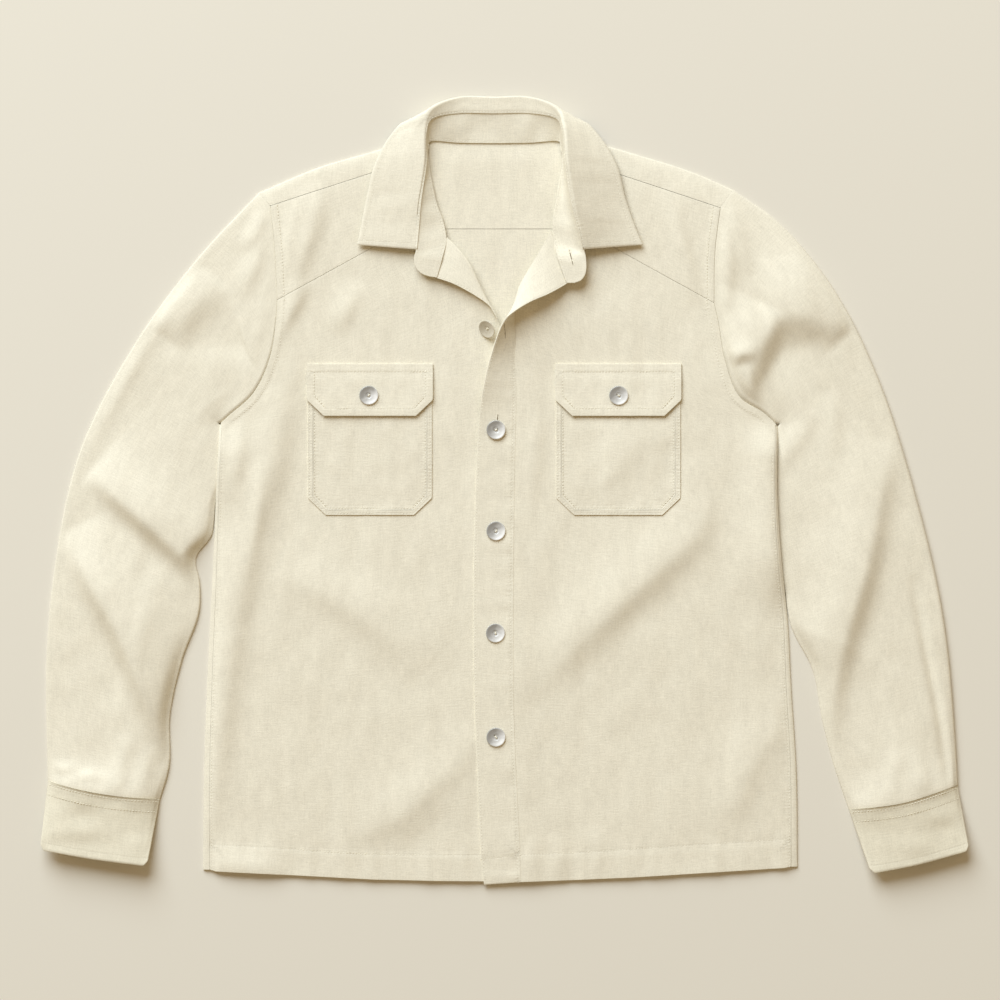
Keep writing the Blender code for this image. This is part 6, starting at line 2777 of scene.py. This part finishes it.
@dataclass
class Studio:
    """A pale floor, one soft key light with a warm fill, and a camera straight above."""

    floor_side: float = 6.0
    camera_height: float = 6.0
    view_width: float = 1.0
    key_elevation: float = 36.0
    key_distance: float = 8.5
    key_size: float = 7.4
    key_power: float = 1045.0
    key_colour: Triple = (0.81, 0.91, 1.0)
    fill: Triple = (0.36, 0.275, 0.165)
    floor_colour: Triple = (0.80, 0.755, 0.66)

    def build(self) -> None:
        """Make floor, light, fill and camera."""
        scene = bpy.context.scene
        scene.view_settings.view_transform = "Standard"
        half = self.floor_side / 2
        mesh = bpy.data.meshes.new("floor")
        mesh.from_pydata([(-half, -half, 0), (half, -half, 0), (half, half, 0), (-half, half, 0)], [],
                         [(0, 1, 2, 3)])
        mesh.materials.append(PlainFinish("pale_floor", self.floor_colour, 0.95).material())
        shown("floor", mesh)
        world = bpy.data.worlds.new("fill")
        world.use_nodes = True
        world.node_tree.nodes["Background"].inputs["Color"].default_value = (*self.fill, 1.0)
        scene.world = world
        lamp = bpy.data.lights.new("key", "AREA")
        lamp.shape = "DISK"
        lamp.size = self.key_size
        lamp.energy = self.key_power
        lamp.color = self.key_colour
        key = shown("key", lamp)
        rise = radians(self.key_elevation)
        flat = unit(LIGHT_PLAN) * cos(rise)
        way = Vector((flat[0], flat[1], sin(rise)))
        key.location = way * self.key_distance
        key.rotation_euler = way.to_track_quat("Z", "Y").to_euler()
        lens = bpy.data.cameras.new("above")
        lens.lens = lens.sensor_width * self.camera_height / self.view_width
        lens.clip_end = 50.0
        camera = shown("above", lens)
        camera.location = (0, 0, self.camera_height)
        scene.camera = camera


@dataclass
class Overshirt:
    """The garment: all cloth pieces, buttons and stitches, in the order that they are sewn."""

    halves: dict[Side, Half] = field(default_factory=lambda: {side: Half(side) for side in Side})
    front_buttons: tuple = ((-4, 70, 20), (-4, -31, 57), (-4.5, -133, 94), (-4, -237, 131))
    flap_buttons: tuple = ((Side.RIGHT, -131, 104.5, 50), (Side.LEFT, 118.5, 104.3, -20))
    button_clear: float = 0.4
    button_reach: float = 14.0  # how far along the placket the cloth below a button is looked at
    button_share: float = 0.6  # where it lies between seam and free edge
    flap_clear: float = 0.5
    first_button: tuple[float, float] = (-12.5, 171.0)
    first_foot: tuple[float, float] = (-13.5, 172.0)  # where its thread leaves the cloth
    first_height: float = 5.6
    first_tilt: float = 42.0
    first_about: tuple[float, float] = (0.58, -0.81)
    first_turn: float = 30.0

    def __post_init__(self) -> None:
        """Lay out the pieces."""
        self.collar = CollarForm(self.halves)
        self.pieces: list[ClothPiece] = [Back(self.halves), BackYoke(self.halves, collar=self.collar)]
        for half in self.halves.values():
            self.pieces += [Front(half), FrontYoke(half, collar=self.collar), Sleeve(half), Cuff(half),
                            Patch(half), Flap(half)]
        self.placket = Placket(self.halves[Side.LEFT])
        self.pieces += [Facing(self.halves[Side.RIGHT]), self.placket, Stand(self.collar), Fall(self.collar)]

    def button_places(self) -> tuple[ButtonPlace, ...]:
        """The buttons, each on the cloth below it.

        Returns:
            The places.
        """
        rows = self.placket.sections()
        places = []
        for k, (x, y, turn) in enumerate(self.front_buttons):
            near = rows[np.abs(rows[:, 1] - y) < self.button_reach]
            below = near[:, 2] + self.button_share * (near[:, 5] - near[:, 2])
            height = np.max(below) + BAND / 2 + self.button_clear
            places.append(ButtonPlace(f"button_front_{k + 2}", x, y, height, turn=turn))
        for side, x, y, turn in self.flap_buttons:
            flap = Flap(self.halves[side])
            height = flap.base(np.array([[x, y]]))[0] + flap.wall + self.flap_clear
            places.append(ButtonPlace("button_flap_" + side.word, x, y, height, turn=turn))
        # The first button isn't done up, and stands tilted on its thread
        height = self.halves[Side.RIGHT].body(np.array([self.first_foot]))[0] + CLOTH + self.first_height
        places.append(ButtonPlace("button_front_1", *self.first_button, height, self.first_tilt,
                                  self.first_about, self.first_turn))
        return tuple(places)

    def build(self) -> None:
        """Make and dress every piece."""
        cloth = ClothFinish().material()
        # The cuffs get a darker copy of the cloth: painted shade, not a cloth of their own.
        cuff_shade_cloth = ClothFinish("pressed_cotton", (0.775, 0.718, 0.572)).material()
        thread = PlainFinish("ecru_thread", (0.90, 0.85, 0.71), 0.8).material()
        for piece in self.pieces:
            piece.build()
            piece.dress(cuff_shade_cloth if isinstance(piece, Cuff) else cloth)
        shell = ShellFinish("grey_shell", (0.95, 0.94, 0.92), (0.38, 0.37, 0.35)).material()
        # A beige, duller copy of the shell for the tilted button: painted light and shade, the cloth's colour
        # through the shell and the shade that it lies in.
        pale = ShellFinish("pale_shell", (0.80, 0.75, 0.63), (0.60, 0.55, 0.44)).material()
        Buttons(self.button_places()).build(shell, pale, thread)
        sewing = Stitching()
        sewing.build(self.pieces, thread)
        # The slits' dark brown is painted shade inside the cuts.
        shade = PlainFinish("slit_shade", (0.20, 0.15, 0.09), 0.9).material()
        Buttonholes().build({piece.name: piece for piece in self.pieces}, sewing, thread, shade)


def main() -> None:
    """Build the garment and its stage."""
    logging.basicConfig(level=logging.INFO, format="%(message)s")
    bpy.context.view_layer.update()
    Overshirt().build()
    Studio().build()


if __name__ == "__main__":
    main()
